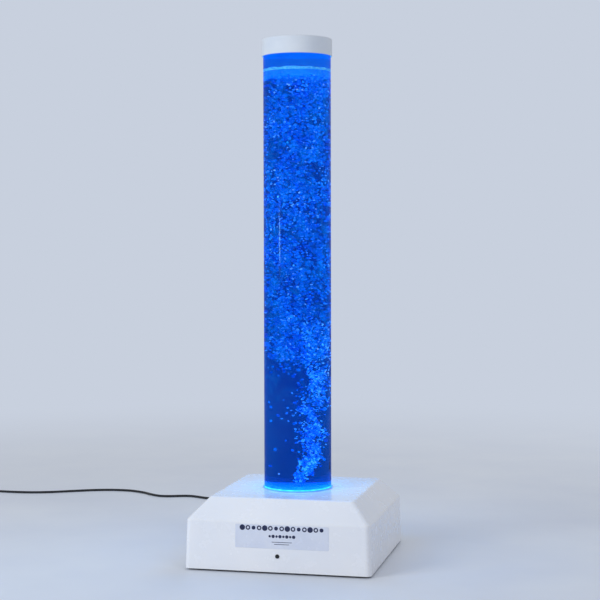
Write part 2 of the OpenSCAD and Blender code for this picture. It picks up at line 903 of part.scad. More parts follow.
// bellows between the valve block and the arm
module pump_diaphragm() {
    reach = valve_block_x - arm_x - arm_t / 2 - 0.05;
    color("black") translate([valve_block_x, pump_outlet_y, pump_split]) rotate([0, -90, 0])
        rotate_extrude() polygon([
            [0, 0], [diaphragm_r, 0], [diaphragm_r, diaphragm_rim],
            [diaphragm_hub_r + 3, 2 * diaphragm_rim], [diaphragm_hub_r + 1, 4 * diaphragm_rim],
            [diaphragm_hub_r, reach], [0, reach]
        ]);
}

module pump_valve_block() {
    block_end = valve_block_x + valve_block[0];
    color("ivory") {
        translate([valve_block_x, pump_outlet_y - valve_block[1] / 2, pump_z + pump_wall])
            cube(valve_block);
        translate([block_end - eps, pump_outlet_y, pump_split]) rotate([0, 90, 0])
            cylinder(r = pump_outlet_r, h = pump_outlet_end - block_end + eps);
    }
}

// ---- drain ----

module drain_fitting() {
    color("gainsboro") translate([drain_at, drain_at, 0]) {
        translate([0, 0, floor_top]) cylinder(r = drain_head_r, h = drain_head_h);
        translate([0, 0, drain_elbow_z])
            cylinder(r = drain_stem_r, h = floor_top - drain_elbow_z + eps);
        translate([0, 0, drain_elbow_z]) sphere(r = drain_stem_r);
        translate([0, 0, drain_elbow_z]) rotate([-90, 0, 0])
            cylinder(r = drain_stem_r, h = drain_elbow_reach);
    }
}

module drain_nut() {
    color("gainsboro") translate([drain_at, drain_at, floor_z - hex_nut_h])
        hex_nut(drain_nut_r, hex_nut_h, drain_stem_r);
}

module drain_hose() {
    color("white") swept_tube(smooth_route(drain_route, 2), hose_r, hose_sides);
}

module along_tap(y, r, h) {
    translate([tap_x, y, tap_z]) rotate([-90, 0, 0]) cylinder(r = r, h = h);
}

module drain_tap() {
    color("goldenrod") difference() {
        union() {
            along_tap(tap_in_y, spout_r, spout_end_y - tap_in_y);
            along_tap(tap_in_y + tap_neck, tap_r, tap_out_y + 4 - tap_in_y - tap_neck);
            translate([tap_x, lever_y, tap_z]) cylinder(r = plug_r, h = lever_z - 0.4 - tap_z);
        }
        translate([tap_x, lever_y, stem_low_z - 0.3])
            cylinder(r = lever_stem_r, h = lever_z - stem_low_z);
        along_tap(tap_out_y + 8, spout_bore_r, spout_end_y - tap_out_y);
    }
}

module tap_lever() {
    color("red") translate([tap_x, lever_y, 0]) {
        translate([0, 0, stem_low_z])
            cylinder(r = lever_stem_r - lever_play, h = lever_z - stem_low_z + eps);
        translate([0, 0, lever_z]) cylinder(r = plug_r, h = lever_t);
        translate([0, -lever_w / 2, lever_z]) cube([lever_l - lever_w / 2, lever_w, lever_t]);
        translate([lever_l - lever_w / 2, 0, lever_z]) cylinder(r = lever_w / 2, h = lever_t);
    }
}

module tap_bracket() {
    color("silver") difference() {
        union() {
            translate([tap_x - tap_bracket_w / 2, tap_out_y, plate_top]) {
                cube([tap_bracket_w, tap_bracket_l, tap_bracket_t]);
                cube([tap_bracket_w, tap_bracket_t, tap_bracket_h]);
            }
        }
        along_tap(tap_out_y - 1, tap_r, tap_bracket_t + 2);
    }
}

// ---- control side ----

module board_corners() {
    for (x = [standoff_in, ctrl[2] - standoff_in], y = [standoff_in, ctrl[3] - standoff_in])
        translate([ctrl[0] + x, ctrl[1] + y, 0]) children();
}

module control_board() {
    color("green") difference() {
        translate([ctrl[0], ctrl[1], ctrl_z]) cube([ctrl[2], ctrl[3], ctrl_t]);
        translate([0, 0, ctrl_z - 1]) board_corners() cylinder(r = standoff_stud_r, h = ctrl_t + 2);
    }
}

module board_standoffs() {
    color("silver") board_corners() {
        translate([0, 0, plate_top]) cylinder(r = standoff_r, h = ctrl_z - plate_top, $fn = 6);
        translate([0, 0, ctrl_z - 1]) cylinder(r = standoff_stud_r, h = ctrl_t + 1);
        translate([0, 0, ctrl_top]) cylinder(r = standoff_head_r, h = standoff_head_h);
    }
}

// one part of the board: where it stands on it, then its size
module board_block(at, size) {
    translate([at[0], at[1], 0]) cube(size);
}

module board_parts() {
    relay = [26, 20, 18];
    capacitor = [5, 14];
    driver_chip = [8, 20, 2.5];
    small_chip = [12, 12, 2];
    heat_tab = [14, 6, 16];
    translate([ctrl[0], ctrl[1], ctrl_top]) {
        color("white") for (y = socket_at) board_block([1, y], [socket_w, socket_w, socket_w]);
        color("navy") for (x = [36, 50, 64])
            translate([x, 14, 0]) cylinder(r = capacitor[0], h = capacitor[1]);
        color("black") {
            board_block([28, 40], relay);
            board_block([20, 10], driver_chip);
            board_block([66, 36], small_chip);
        }
        color("silver") board_block([60, 53], heat_tab);
    }
}

module terminal_block() {
    color("ivory") difference() {
        translate([term[0], term[1], plate_top]) cube([term[2], term[3], term[4]]);
        for (i = [0 : term_ways - 1])
            translate([term[0] + 6 + i * term_pitch, term[1] + term[3] / 2, plate_top + term_floor])
                cylinder(r = term_way_r, h = term[4]);
    }
}

// three leads that end on the control board's sockets
module wiring_loom() {
    color("red") for (route = [supply_route, pump_route, lamp_route])
        swept_tube(smooth_route(route, 2), lead_r, lead_sides);
}

module inner_lead() {
    color("black") swept_tube(smooth_route(inner_route, 2), cord_r, cord_sides);
}

module cable_bracket() {
    color("silver") difference() {
        translate([outlet_x - bracket_w / 2, 0, plate_top]) {
            translate([0, bracket_y - bracket_l, 0]) cube([bracket_w, bracket_l + eps, bracket_foot_t]);
            translate([0, bracket_y, 0]) cube([bracket_w, bracket_t, bracket_h]);
        }
        translate([outlet_x, bracket_y - 1, outlet_z]) rotate([-90, 0, 0])
            cylinder(r = relief_neck_r, h = bracket_t + 2);
    }
}

// bush that grips the cord: collar inside, neck in the bracket, collar and taper outside
module strain_relief() {
    outer_y = bracket_y + bracket_t;
    color("black") translate([outlet_x, 0, outlet_z]) rotate([-90, 0, 0]) rotate_extrude() polygon([
        [0, bracket_y - relief_inner_l], [relief_inner_r, bracket_y - relief_inner_l],
        [relief_inner_r, bracket_y], [relief_neck_r, bracket_y],
        [relief_neck_r, outer_y], [relief_collar_r, outer_y], [relief_collar_r, relief_collar_end],
        [7, relief_collar_end + 1.5], [relief_tip_r + 0.4, relief_end_y - 4],
        [relief_tip_r, relief_end_y], [0, relief_end_y]
    ]);
}

module button_bezel() {
    color("black") on_front(button_x, button_z) difference() {
        union() {
            cylinder(d = bezel_d, h = bezel_out);
            translate([0, 0, -barrel_in]) cylinder(r = barrel_r, h = barrel_in + eps);
            translate([0, 0, -switch_in]) cylinder(r = switch_r, h = switch_in - barrel_in + eps);
        }
        translate([0, 0, -button_skirt - spring_room])
            cylinder(r = button_well_r, h = button_skirt + spring_room + 2 * bezel_out);
    }
}

module button_nut() {
    color("silver") on_front(button_x, button_z)
        translate([0, 0, -cover_wall - button_nut_t - 0.1])
            hex_nut(button_nut_r, button_nut_t, barrel_r);
}

module button_cap() {
    color("black") on_front(button_x, button_z) translate([0, 0, -button_skirt])
        rotate_extrude() polygon([
            [0, 0], [button_r, 0], [button_r, button_skirt + button_out - button_edge],
            [button_r - button_edge, button_skirt + button_out], [0, button_skirt + button_out]
        ]);
}

module button_spring() {
    low = -button_skirt - spring_room + spring_wire_r + spring_play;
    high = -button_skirt - spring_wire_r - spring_play;
    steps = 8 * spring_curls;
    color("silver") on_front(button_x, button_z) swept_tube([for (i = [0 : steps])
        [spring_r * cos(i * 45), spring_r * sin(i * 45), low + (high - low) * i / steps]
    ], spring_wire_r, 6);
}

module label_plate() {
    color("lightsteelblue") on_front(label_x, label_z) linear_extrude(label_t) union() {
        translate([-label_w / 2 + label_corner, 0]) square([label_w - 2 * label_corner, label_h]);
        translate([-label_w / 2, label_corner]) square([label_w, label_h - 2 * label_corner]);
        for (x = [-1, 1], y = [label_corner, label_h - label_corner])
            translate([x * (label_w / 2 - label_corner), y]) circle(label_corner, $fn = 24);
    }
}

// ---- power cord ----

module power_cord() {
    color("black") swept_tube(smooth_route(cord_route, cord_steps), cord_r, cord_sides);
}

// place of the coil's middle line after t turns, seen from its centre
function coil_spot(t) =
    let (mid = coil_turns / 2, in = min(t, coil_turns - t), a = 90 + 360 * t,
        climb = min(1, max(0, (t - mid) / (2 * climb_half) + 0.5)),
        r = coil_r0 - coil_pitch * in)
    [coil_x + r * cos(a), coil_y + r * sin(a), coil_z + coil_pitch * climb * climb * (3 - 2 * climb)];

coil_line = let (n = round(coil_turns * coil_rings), a = 90 + 360 * coil_turns,
    last = coil_spot(coil_turns)) concat(
    [cord_route[len(cord_route) - 1]],
    [for (i = [0 : n]) coil_spot(i / coil_rings)],
    [last + cord_d * [-sin(a), cos(a), 0]],
    [last + coil_lead_out * [-sin(a), cos(a), 0]]
);
coil_end = coil_line[len(coil_line) - 1];

// least distance between points of the coil that are over two fifths of a turn apart
coil_least = min([for (i = [0 : len(coil_line) - 1], j = [i + 10 : 1 : len(coil_line) - 1])
    norm(coil_line[i] - coil_line[j])]) - cord_d;
cord_line = smooth_route(cord_route, cord_steps);
echo(coil_gap_to_itself = coil_least);
echo(cord_free = route_length(cord_line), cord_coiled = route_length(coil_line));
echo(cord_total = route_length(cord_line) + route_length(coil_line));

module cord_coil() {
    color("black") swept_tube(coil_line, cord_r, coil_sides);
}

// strap round the bundle, an eighth of a turn after the start
module cord_tie() {
    mid = coil_r0 - coil_pitch * 0.625;
    wide = coil_pitch + cord_d + 2 * tie_side_play;
    high = coil_pitch + cord_d + 2 * tie_play;
    color("dimgray") translate([coil_x, coil_y, 0]) rotate([0, 0, 135])
        translate([mid, 0, coil_lift - tie_play]) difference() {
            translate([-wide / 2 - tie_t, -tie_w / 2, -tie_t])
                cube([wide + 2 * tie_t, tie_w, high + 2 * tie_t]);
            translate([-wide / 2, -tie_w / 2 - 1, 0]) cube([wide, tie_w + 2, high]);
        }
}

// the adaptor lies on its face, its cord end towards the coil, its pins up
module adaptor_body() {
    neck_y = coil_end[1];
    body_y = neck_y - adaptor_neck_l;
    edge = adaptor_edge;
    color("black") {
        translate([coil_end[0], neck_y, coil_end[2]]) rotate([90, 0, 0])
            cylinder(r = adaptor_neck_r, h = adaptor_neck_l + 1);
        translate([coil_end[0], body_y - adaptor[1] / 2, 0]) hull()
            for (x = [-1, 1], y = [-1, 1])
                translate([x * (adaptor[0] / 2 - adaptor_corner), y * (adaptor[1] / 2 - adaptor_corner), 0]) {
                    translate([0, 0, edge])
                        cylinder(r = adaptor_corner, h = adaptor[2] - 2 * edge, $fn = hull_fn);
                    cylinder(r = adaptor_corner - edge, h = adaptor[2], $fn = hull_fn);
                }
    }
}

module adaptor_pins() {
    mid_y = coil_end[1] - adaptor_neck_l - adaptor[1] / 2;
    color("silver") translate([coil_end[0], mid_y, adaptor[2]]) {
        translate([-earth_pin[0] / 2, earth_forward, 0]) cube(earth_pin);
        for (x = [-1, 1]) translate([(x * pins_apart - pin[0]) / 2, -pins_back, 0]) cube(pin);
    }
}

base_cover();
cover_screws();
base_plate();
rubber_feet();
foot_screws();
support_pillars();
pillar_bolts();
tube_deck();
acrylic_tube();
tube_flange();
flange_bolts();
tube_floor();
tube_seal_ring();
water_column();
air_bubbles();
top_cap();
led_plate();
led_board();
led_lamps();
air_nozzle();
nozzle_washer();
nozzle_nut();
air_hose_upper();
check_valve();
air_hose_lower();
pump_tray();
pump_cover();
pump_mounts();
pump_core();
pump_coil();
pump_pivot_pin();
pump_arm();
pump_magnet();
pump_diaphragm();
pump_valve_block();
drain_fitting();
drain_nut();
drain_hose();
drain_tap();
tap_lever();
tap_bracket();
control_board();
board_standoffs();
board_parts();
terminal_block();
wiring_loom();
inner_lead();
cable_bracket();
strain_relief();
button_bezel();
button_nut();
button_cap();
button_spring();
label_plate();
power_cord();
cord_coil();
cord_tie();
adaptor_body();
adaptor_pins();
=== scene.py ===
import json
import math

import bmesh
import bpy
import numpy as np
from mathutils import Matrix, Vector, noise


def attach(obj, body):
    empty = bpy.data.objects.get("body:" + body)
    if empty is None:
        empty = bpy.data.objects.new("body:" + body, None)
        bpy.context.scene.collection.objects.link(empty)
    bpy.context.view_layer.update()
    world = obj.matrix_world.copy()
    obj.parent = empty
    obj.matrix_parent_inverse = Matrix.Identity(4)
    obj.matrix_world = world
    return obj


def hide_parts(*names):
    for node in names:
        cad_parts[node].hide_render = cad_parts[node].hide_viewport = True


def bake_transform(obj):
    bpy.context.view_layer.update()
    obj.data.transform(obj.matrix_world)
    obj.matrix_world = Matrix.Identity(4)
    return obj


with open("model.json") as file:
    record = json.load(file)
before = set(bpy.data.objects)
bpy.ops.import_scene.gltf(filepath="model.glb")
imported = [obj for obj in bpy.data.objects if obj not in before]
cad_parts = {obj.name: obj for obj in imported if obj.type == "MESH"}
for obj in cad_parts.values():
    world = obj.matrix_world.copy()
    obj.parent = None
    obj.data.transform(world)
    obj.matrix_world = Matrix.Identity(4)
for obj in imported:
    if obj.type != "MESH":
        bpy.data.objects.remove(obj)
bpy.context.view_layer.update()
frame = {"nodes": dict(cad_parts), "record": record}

nodes = frame["nodes"]


# ---- small tools for meshes

def meshPiece(name, points, faces, sharpAngle=35):
    mesh = bpy.data.meshes.new(name)
    mesh.from_pydata([tuple(p) for p in points], [], faces)
    piece = bpy.data.objects.new(name, mesh)
    bpy.context.scene.collection.objects.link(piece)
    smoothMesh(mesh, sharpAngle)
    return piece


def smoothMesh(mesh, sharpAngle=35, weld=True):
    work = bmesh.new()
    work.from_mesh(mesh)
    if weld:
        bmesh.ops.remove_doubles(work, verts=work.verts, dist=1e-6)
    bmesh.ops.recalc_face_normals(work, faces=work.faces)
    limit = math.radians(sharpAngle)
    for face in work.faces:
        face.smooth = True
    for edge in work.edges:
        edge.smooth = len(edge.link_faces) == 2 and edge.calc_face_angle(0) < limit
    work.to_mesh(mesh)
    work.free()


def bakeModifiers(piece, sharpAngle=35):
    shown = bpy.context.evaluated_depsgraph_get()
    mesh = bpy.data.meshes.new_from_object(piece.evaluated_get(shown))
    piece.modifiers.clear()
    piece.data = mesh
    if sharpAngle:
        smoothMesh(mesh, sharpAngle)
    return piece


# rounds the corners of an outline: each entry is (x, y, radius)
def softOutline(corners, steps=5, closed=True):
    outline = []
    count = len(corners)
    for i, (x, y, radius) in enumerate(corners):
        here = Vector((x, y))
        if radius <= 0 or (not closed and i in (0, count - 1)):
            outline.append(here)
            continue
        toLast = Vector(corners[i - 1][:2]) - here
        toNext = Vector(corners[(i + 1) % count][:2]) - here
        half = toLast.angle(toNext) / 2
        cut = min(radius / math.tan(half), toLast.length * 0.49, toNext.length * 0.49)
        radius = cut * math.tan(half)
        middle = here + (toLast.normalized() + toNext.normalized()).normalized() * radius / math.sin(half)
        first = here + toLast.normalized() * cut - middle
        last = here + toNext.normalized() * cut - middle
        turn = first.angle_signed(last)
        for step in range(steps + 1):
            spin = Matrix.Rotation(-turn * step / steps, 2)
            outline.append(middle + spin @ first)
    return [(p.x, p.y) for p in outline]


# turns an outline of (radius, height) round an upright line
def turned(name, outline, steps=96, centre=(0, 0), closed=True, sharpAngle=35):
    points = []
    for radius, height in outline:
        for step in range(steps):
            a = 2 * math.pi * step / steps
            points.append((centre[0] + radius * math.cos(a), centre[1] + radius * math.sin(a), height))
    faces = []
    rings = len(outline)
    for ring in range(rings if closed else rings - 1):
        below, above = ring * steps, (ring + 1) % rings * steps
        for step in range(steps):
            after = (step + 1) % steps
            faces.append((below + step, below + after, above + after, above + step))
    return meshPiece(name, points, faces, sharpAngle)


# joins level loops that have the same number of points into a closed skin
def stacked(name, loops, closeRing=False, capEnds=True, sharpAngle=35):
    size = len(loops[0])
    points = [p for loop in loops for p in loop]
    faces = []
    for i in range(len(loops) if closeRing else len(loops) - 1):
        below, above = i * size, (i + 1) % len(loops) * size
        for k in range(size):
            after = (k + 1) % size
            faces.append((below + k, below + after, above + after, above + k))
    if capEnds and not closeRing:
        faces.append(tuple(range(size))[::-1])
        faces.append(tuple(range((len(loops) - 1) * size, len(loops) * size)))
    return meshPiece(name, points, faces, sharpAngle)


def roundedLoop(halfX, halfY, radius, height, cornerSteps=8, edgeSteps=1):
    loop = []
    corners = [(1, 1), (-1, 1), (-1, -1), (1, -1)]
    for quarter, (sx, sy) in enumerate(corners):
        for step in range(cornerSteps + 1):
            a = math.radians(90 * (quarter + step / cornerSteps))
            x = sx * (halfX - radius) + radius * math.cos(a)
            y = sy * (halfY - radius) + radius * math.sin(a)
            loop.append(Vector((x, y, height)))
        nx, ny = corners[(quarter + 1) % 4]
        a = math.radians(90 * (quarter + 1))
        goal = Vector((nx * (halfX - radius) + radius * math.cos(a),
                       ny * (halfY - radius) + radius * math.sin(a), height))
        start = loop[-1].copy()
        for step in range(1, edgeSteps):
            loop.append(start.lerp(goal, step / edgeSteps))
    return loop


# ---- tubes swept along a route

def curvePoint(route, i, t):
    a, b, c = route[max(i - 1, 0)], route[i], route[i + 1]
    d = route[min(i + 2, len(route) - 1)]
    return 0.5 * (2 * b + (c - a) * t + (2 * a - 5 * b + 4 * c - d) * t * t
                  + (3 * b - a - 3 * c + d) * t * t * t)


# the first and last spans stay straight, square to what the tube meets
def smoothRoute(route, steps):
    route = [Vector(p) for p in route]
    line = []
    for i in range(len(route) - 1):
        for k in range(steps):
            t = k / steps
            straight = i in (0, len(route) - 2)
            line.append(route[i].lerp(route[i + 1], t) if straight else curvePoint(route, i, t))
    return line + [route[-1]]


def sweptTube(name, line, radius, sides=16):
    line = [Vector(p) for p in line]
    radii = radius if isinstance(radius, list) else [radius] * len(line)
    points, faces = [], []
    side = None
    for i, p in enumerate(line):
        ahead = (line[min(i + 1, len(line) - 1)] - line[max(i - 1, 0)]).normalized()
        if side is None:
            side = ahead.orthogonal().normalized()
        side = (side - ahead * side.dot(ahead)).normalized()
        over = ahead.cross(side)
        for k in range(sides):
            a = 2 * math.pi * k / sides
            points.append(p + radii[i] * (math.cos(a) * side + math.sin(a) * over))
    for i in range(len(line) - 1):
        for k in range(sides):
            a, b = i * sides + k, i * sides + (k + 1) % sides
            faces.append((a, b, b + sides, a + sides))
    faces.append(tuple(range(sides))[::-1])
    faces.append(tuple(range((len(line) - 1) * sides, len(line) * sides)))
    return meshPiece(name, points, faces, 50)


def joined(name, pieces):
    points, faces = [], []
    for piece in pieces:
        start = len(points)
        points += [piece.matrix_world @ v.co for v in piece.data.vertices]
        faces += [tuple(start + i for i in p.vertices) for p in piece.data.polygons]
        bpy.data.objects.remove(piece)
    return meshPiece(name, points, faces)


# ---- small tools for materials

def srgb(red, green, blue):
    shares = [c / 255 for c in (red, green, blue)]
    return tuple(c / 12.92 if c <= 0.04045 else ((c + 0.055) / 1.055) ** 2.4 for c in shares) + (1,)


# each setting is a property of the node or, with _ for a space, the value of one of its sockets
def addNode(tree, kind, **settings):
    node = tree.nodes.new("ShaderNode" + kind)
    for name, value in settings.items():
        if hasattr(node, name):
            setattr(node, name, value)
        else:
            node.inputs[name.replace("_", " ")].default_value = value
    return node


def blankMaterial(name):
    material = bpy.data.materials.new(name)
    material.use_nodes = True
    tree = material.node_tree
    tree.nodes.clear()
    out = addNode(tree, "OutputMaterial")
    place = addNode(tree, "TexCoord").outputs["Object"]
    material.cycles.emission_sampling = "NONE"  # faint glows are too many to be aimed at as lamps
    return material, tree, out, place


def opaqueMaterial(name, **settings):
    material, tree, out, place = blankMaterial(name)
    shader = addNode(tree, "BsdfPrincipled", **settings)
    tree.links.new(shader.outputs["BSDF"], out.inputs["Surface"])
    return material, tree, place, shader


# a number or a colour is set on the socket, the output of another node is linked to it
def feed(tree, socket, value):
    if isinstance(value, (int, float, tuple)):
        socket.default_value = value
    else:
        tree.links.new(value, socket)


def noiseAt(tree, place, scale, detail=3.0, roughness=0.55, distortion=0.0):
    field = addNode(tree, "TexNoise", Scale=scale, Detail=detail, Roughness=roughness, Distortion=distortion)
    tree.links.new(place, field.inputs["Vector"])
    return field.outputs["Fac"]


def cellsAt(tree, place, scale):
    cells = addNode(tree, "TexVoronoi", Scale=scale)
    tree.links.new(place, cells.inputs["Vector"])
    return cells.outputs["Distance"]


def heightAt(tree, place):
    split = addNode(tree, "SeparateXYZ")
    tree.links.new(place, split.inputs["Vector"])
    return split.outputs["Z"]


def remapped(tree, value, low, high, toLow, toHigh):
    ruler = addNode(tree, "MapRange", From_Min=low, From_Max=high, To_Min=toLow, To_Max=toHigh)
    tree.links.new(value, ruler.inputs["Value"])
    return ruler.outputs["Result"]


# shares between 0 and 1 that change over the piece in soft patches
def patches(tree, place, low, high, scale, *more):
    return remapped(tree, noiseAt(tree, place, scale, *more), low, high, 0, 1)


def combined(tree, operation, *values):
    node = addNode(tree, "Math", operation=operation)
    for socket, value in zip(node.inputs, values):
        feed(tree, socket, value)
    return node.outputs[0]


def product(tree, *factors):
    total = factors[0]
    for factor in factors[1:]:
        total = combined(tree, "MULTIPLY", total, factor)
    return total


def mixedColour(tree, share, first, second):
    mix = addNode(tree, "Mix", data_type="RGBA")
    for socket, value in ((mix.inputs[0], share), (mix.inputs[6], first), (mix.inputs[7], second)):
        feed(tree, socket, value)
    return mix.outputs[2]


def mixedShader(tree, share, first, second):
    mix = addNode(tree, "MixShader")
    for socket, value in zip(mix.inputs, (share, first, second)):
        tree.links.new(value, socket)
    return mix.outputs[0]


def tint(tree, shader, socket, share, first, second):
    tree.links.new(mixedColour(tree, share, first, second), shader.inputs[socket])


def unevenGloss(tree, place, shader, scale, detail, rough):
    gloss = remapped(tree, noiseAt(tree, place, scale, detail), 0.3, 0.7, *rough)
    tree.links.new(gloss, shader.inputs["Roughness"])


def bumped(tree, shader, height, depth, strength=1.0):
    bump = addNode(tree, "Bump", Strength=strength, Distance=depth)
    tree.links.new(height, bump.inputs["Height"])
    tree.links.new(bump.outputs["Normal"], shader.inputs["Normal"])


def plainLook(colour, second, rough, **more):
    return dict(more, colour=srgb(*colour), second=srgb(*second), rough=rough)


# a plain finish: a colour that drifts towards a second one, a grain and an uneven gloss
def plainFinish(name, look):
    material, tree, place, shader = opaqueMaterial(
        name, Metallic=look.get("metal", 0.0), Subsurface_Weight=look.get("milky", 0.0))
    drift = patches(tree, place, 0.35, 0.68, look.get("driftScale", 9), 4)
    tint(tree, shader, "Base Color", drift, look["colour"], look["second"])
    unevenGloss(tree, place, shader, look.get("glossScale", 40), 3, look["rough"])
    grain = noiseAt(tree, place, look.get("grainScale", 900), 2)
    bumped(tree, shader, grain, look.get("grainDepth", 0.00003), 0.4)
    return material


def dress(piece, material, body=None, replaces=()):
    piece.data.materials.clear()
    piece.data.materials.append(material)
    if body:
        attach(piece, body)
    if replaces:
        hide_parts(*replaces)
    return piece


# ---- camera

view = {
    "place": (0.745756, -3.200263, 0.702623),
    "yaw": 13.019, "pitch": -2.271, "roll": -0.12,
    "focalPixels": 1473.52, "imageWidth": 600, "sensor": 36,
}


def makeCamera():
    yaw, pitch, roll = (math.radians(view[k]) for k in ("yaw", "pitch", "roll"))
    ahead = Vector((-math.sin(yaw) * math.cos(pitch), math.cos(yaw) * math.cos(pitch), math.sin(pitch)))
    level = Vector((math.cos(yaw), math.sin(yaw), 0))
    upright = level.cross(ahead)
    right = level * math.cos(roll) + upright * math.sin(roll)
    up = upright * math.cos(roll) - level * math.sin(roll)
    lens = bpy.data.cameras.new("viewCamera")
    lens.sensor_width = view["sensor"]
    lens.lens = view["focalPixels"] * view["sensor"] / view["imageWidth"]
    camera = bpy.data.objects.new("viewCamera", lens)
    bpy.context.scene.collection.objects.link(camera)
    turn = Matrix((right, up, -ahead)).transposed().to_4x4()
    camera.matrix_world = Matrix.Translation(view["place"]) @ turn
    bpy.context.scene.camera = camera


makeCamera()
print("camera placed")


# ---- power cord: free stretch, stored coil, strap, strain relief and adaptor

cord = {
    "diameter": 0.006, "sides": 16, "routeSteps": 6,
    "exit": (-0.060, 0.231, 0.024),
    "route": [
        (-0.060, 0.231, 0.024), (-0.060, 0.240, 0.024), (-0.061, 0.256, 0.021), (-0.063, 0.274, 0.014),
        (-0.067, 0.296, 0.007), (-0.076, 0.324, 0.003), (-0.092, 0.360, 0.003), (-0.118, 0.408, 0.003),
        (-0.152, 0.460, 0.003), (-0.196, 0.514, 0.003), (-0.248, 0.562, 0.003), (-0.306, 0.602, 0.003),
        (-0.362, 0.628, 0.003), (-0.412, 0.644, 0.003), (-0.436, 0.656, 0.003), (-0.460, 0.664, 0.003),
        (-0.486, 0.659, 0.003), (-0.512, 0.649, 0.003), (-0.542, 0.648, 0.003), (-0.572, 0.665, 0.003),
        (-0.606, 0.692, 0.003), (-0.652, 0.712, 0.003), (-0.706, 0.712, 0.003), (-0.758, 0.696, 0.003),
        (-0.808, 0.670, 0.003), (-0.858, 0.643, 0.003), (-0.910, 0.626, 0.003), (-0.962, 0.622, 0.003),
        (-1.014, 0.624, 0.003), (-1.064, 0.624, 0.0042), (-1.080, 0.624, 0.0042),
    ],
    "turns": 3.25, "meanDiameter": 0.066, "pitch": 0.0067, "ringsPerTurn": 48,
    "coilX": -1.086, "coilLift": 0.0042, "climbHalf": 0.25, "leadOut": 0.032,
}
cord["startRadius"] = cord["meanDiameter"] / 2 + cord["pitch"] * cord["turns"] / 4
cord["coilY"] = cord["route"][-1][1] - cord["startRadius"]


# place of the coil's middle line after some turns: it spirals in, climbs, and spirals out again
def coilSpot(turns):
    inward = min(turns, cord["turns"] - turns)
    a = math.radians(90 + 360 * turns)
    climb = min(1, max(0, (turns - cord["turns"] / 2) / (2 * cord["climbHalf"]) + 0.5))
    radius = cord["startRadius"] - cord["pitch"] * inward
    height = cord["coilLift"] + cord["pitch"] * climb * climb * (3 - 2 * climb)
    return Vector((cord["coilX"] + radius * math.cos(a), cord["coilY"] + radius * math.sin(a), height))


def makeCordLine():
    line = smoothRoute(cord["route"], cord["routeSteps"])
    rings = round(cord["turns"] * cord["ringsPerTurn"])
    line += [coilSpot(i / cord["ringsPerTurn"]) for i in range(rings + 1)]
    a = math.radians(90 + 360 * cord["turns"])
    onward = Vector((-math.sin(a), math.cos(a), 0))
    last = coilSpot(cord["turns"])
    line += [last + onward * cord["diameter"] * k for k in (1, 2)]
    line.append(last + onward * cord["leadOut"])
    return line


cordLine = makeCordLine()
cordEnd = cordLine[-1]

cordRubber = plainFinish("cordRubber", plainLook(
    (24, 24, 26), (34, 34, 38), (0.42, 0.6), driftScale=14, glossScale=60,
    grainScale=1500, grainDepth=0.00004))
moulding = plainFinish("blackMoulding", plainLook(
    (20, 20, 23), (28, 28, 31), (0.28, 0.42), driftScale=22, glossScale=90,
    grainScale=2200, grainDepth=0.00005))
pinMetal = plainFinish("platedPins", plainLook(
    (190, 188, 180), (160, 158, 152), (0.2, 0.38), metal=1.0, driftScale=120, glossScale=300,
    grainScale=1800))

# distances along the way out through the back wall are measured from the middle of the lamp
relief = {
    "inside": 0.186, "lip": 0.008, "lipEnd": 0.192, "stem": 0.006, "collarFrom": 0.193, "collar": 0.0088,
    "collarEnd": 0.206, "root": 0.0072, "tip": 0.0042, "end": 0.231,
    "grooves": 5, "grooveDip": 0.0012, "least": 0.0034,
}


# a collar against the wall, then a tapered sleeve with grooves that let it bend
def makeStrainRelief():
    r = relief
    outline = [
        (0, r["inside"], 0), (r["lip"], r["inside"], 0.0006), (r["lip"], r["lipEnd"], 0.0004),
        (r["stem"], r["lipEnd"], 0.0004), (r["stem"], r["collarFrom"], 0.0003),
        (r["collar"], r["collarFrom"], 0.0004), (r["collar"], r["collarEnd"], 0.0011),
        (r["root"], r["collarEnd"], 0.0004),
    ]
    length = r["end"] - r["collarEnd"]
    for groove in range(r["grooves"]):
        for share, dip in ((0.30, 0), (0.42, r["grooveDip"]), (0.66, r["grooveDip"]), (0.78, 0)):
            along = (groove + share) / (r["grooves"] + 0.4)
            radius = r["root"] + (r["tip"] - r["root"]) * along - dip
            outline.append((max(radius, r["least"]), r["collarEnd"] + length * along, 0.0003))
    outline += [(r["tip"], r["end"], 0.0006), (0, r["end"], 0)]
    piece = turned("strainRelief", softOutline(outline, 3, closed=False), 48, closed=False, sharpAngle=50)
    exitX, exitZ = cord["exit"][0], cord["exit"][2]
    piece.data.transform(Matrix.Translation((exitX, 0, exitZ)) @ Matrix.Rotation(math.radians(-90), 4, "X"))
    smoothMesh(piece.data, 50)
    return piece


adaptor = {
    "width": 0.050, "depth": 0.072, "height": 0.036, "corner": 0.005, "edge": 0.0022, "edgeSteps": 5,
    "seam": 0.019, "seamDepth": 0.0005,
    "neck": 0.014, "neckRadius": 0.0042, "neckRoot": 0.0036, "neckEnd": 0.0034, "neckTop": (0.005, 0.0146),
    "ribs": 4, "ribGrowth": 0.0002, "ribWide": 0.0026, "ribEdge": 0.0004,
}


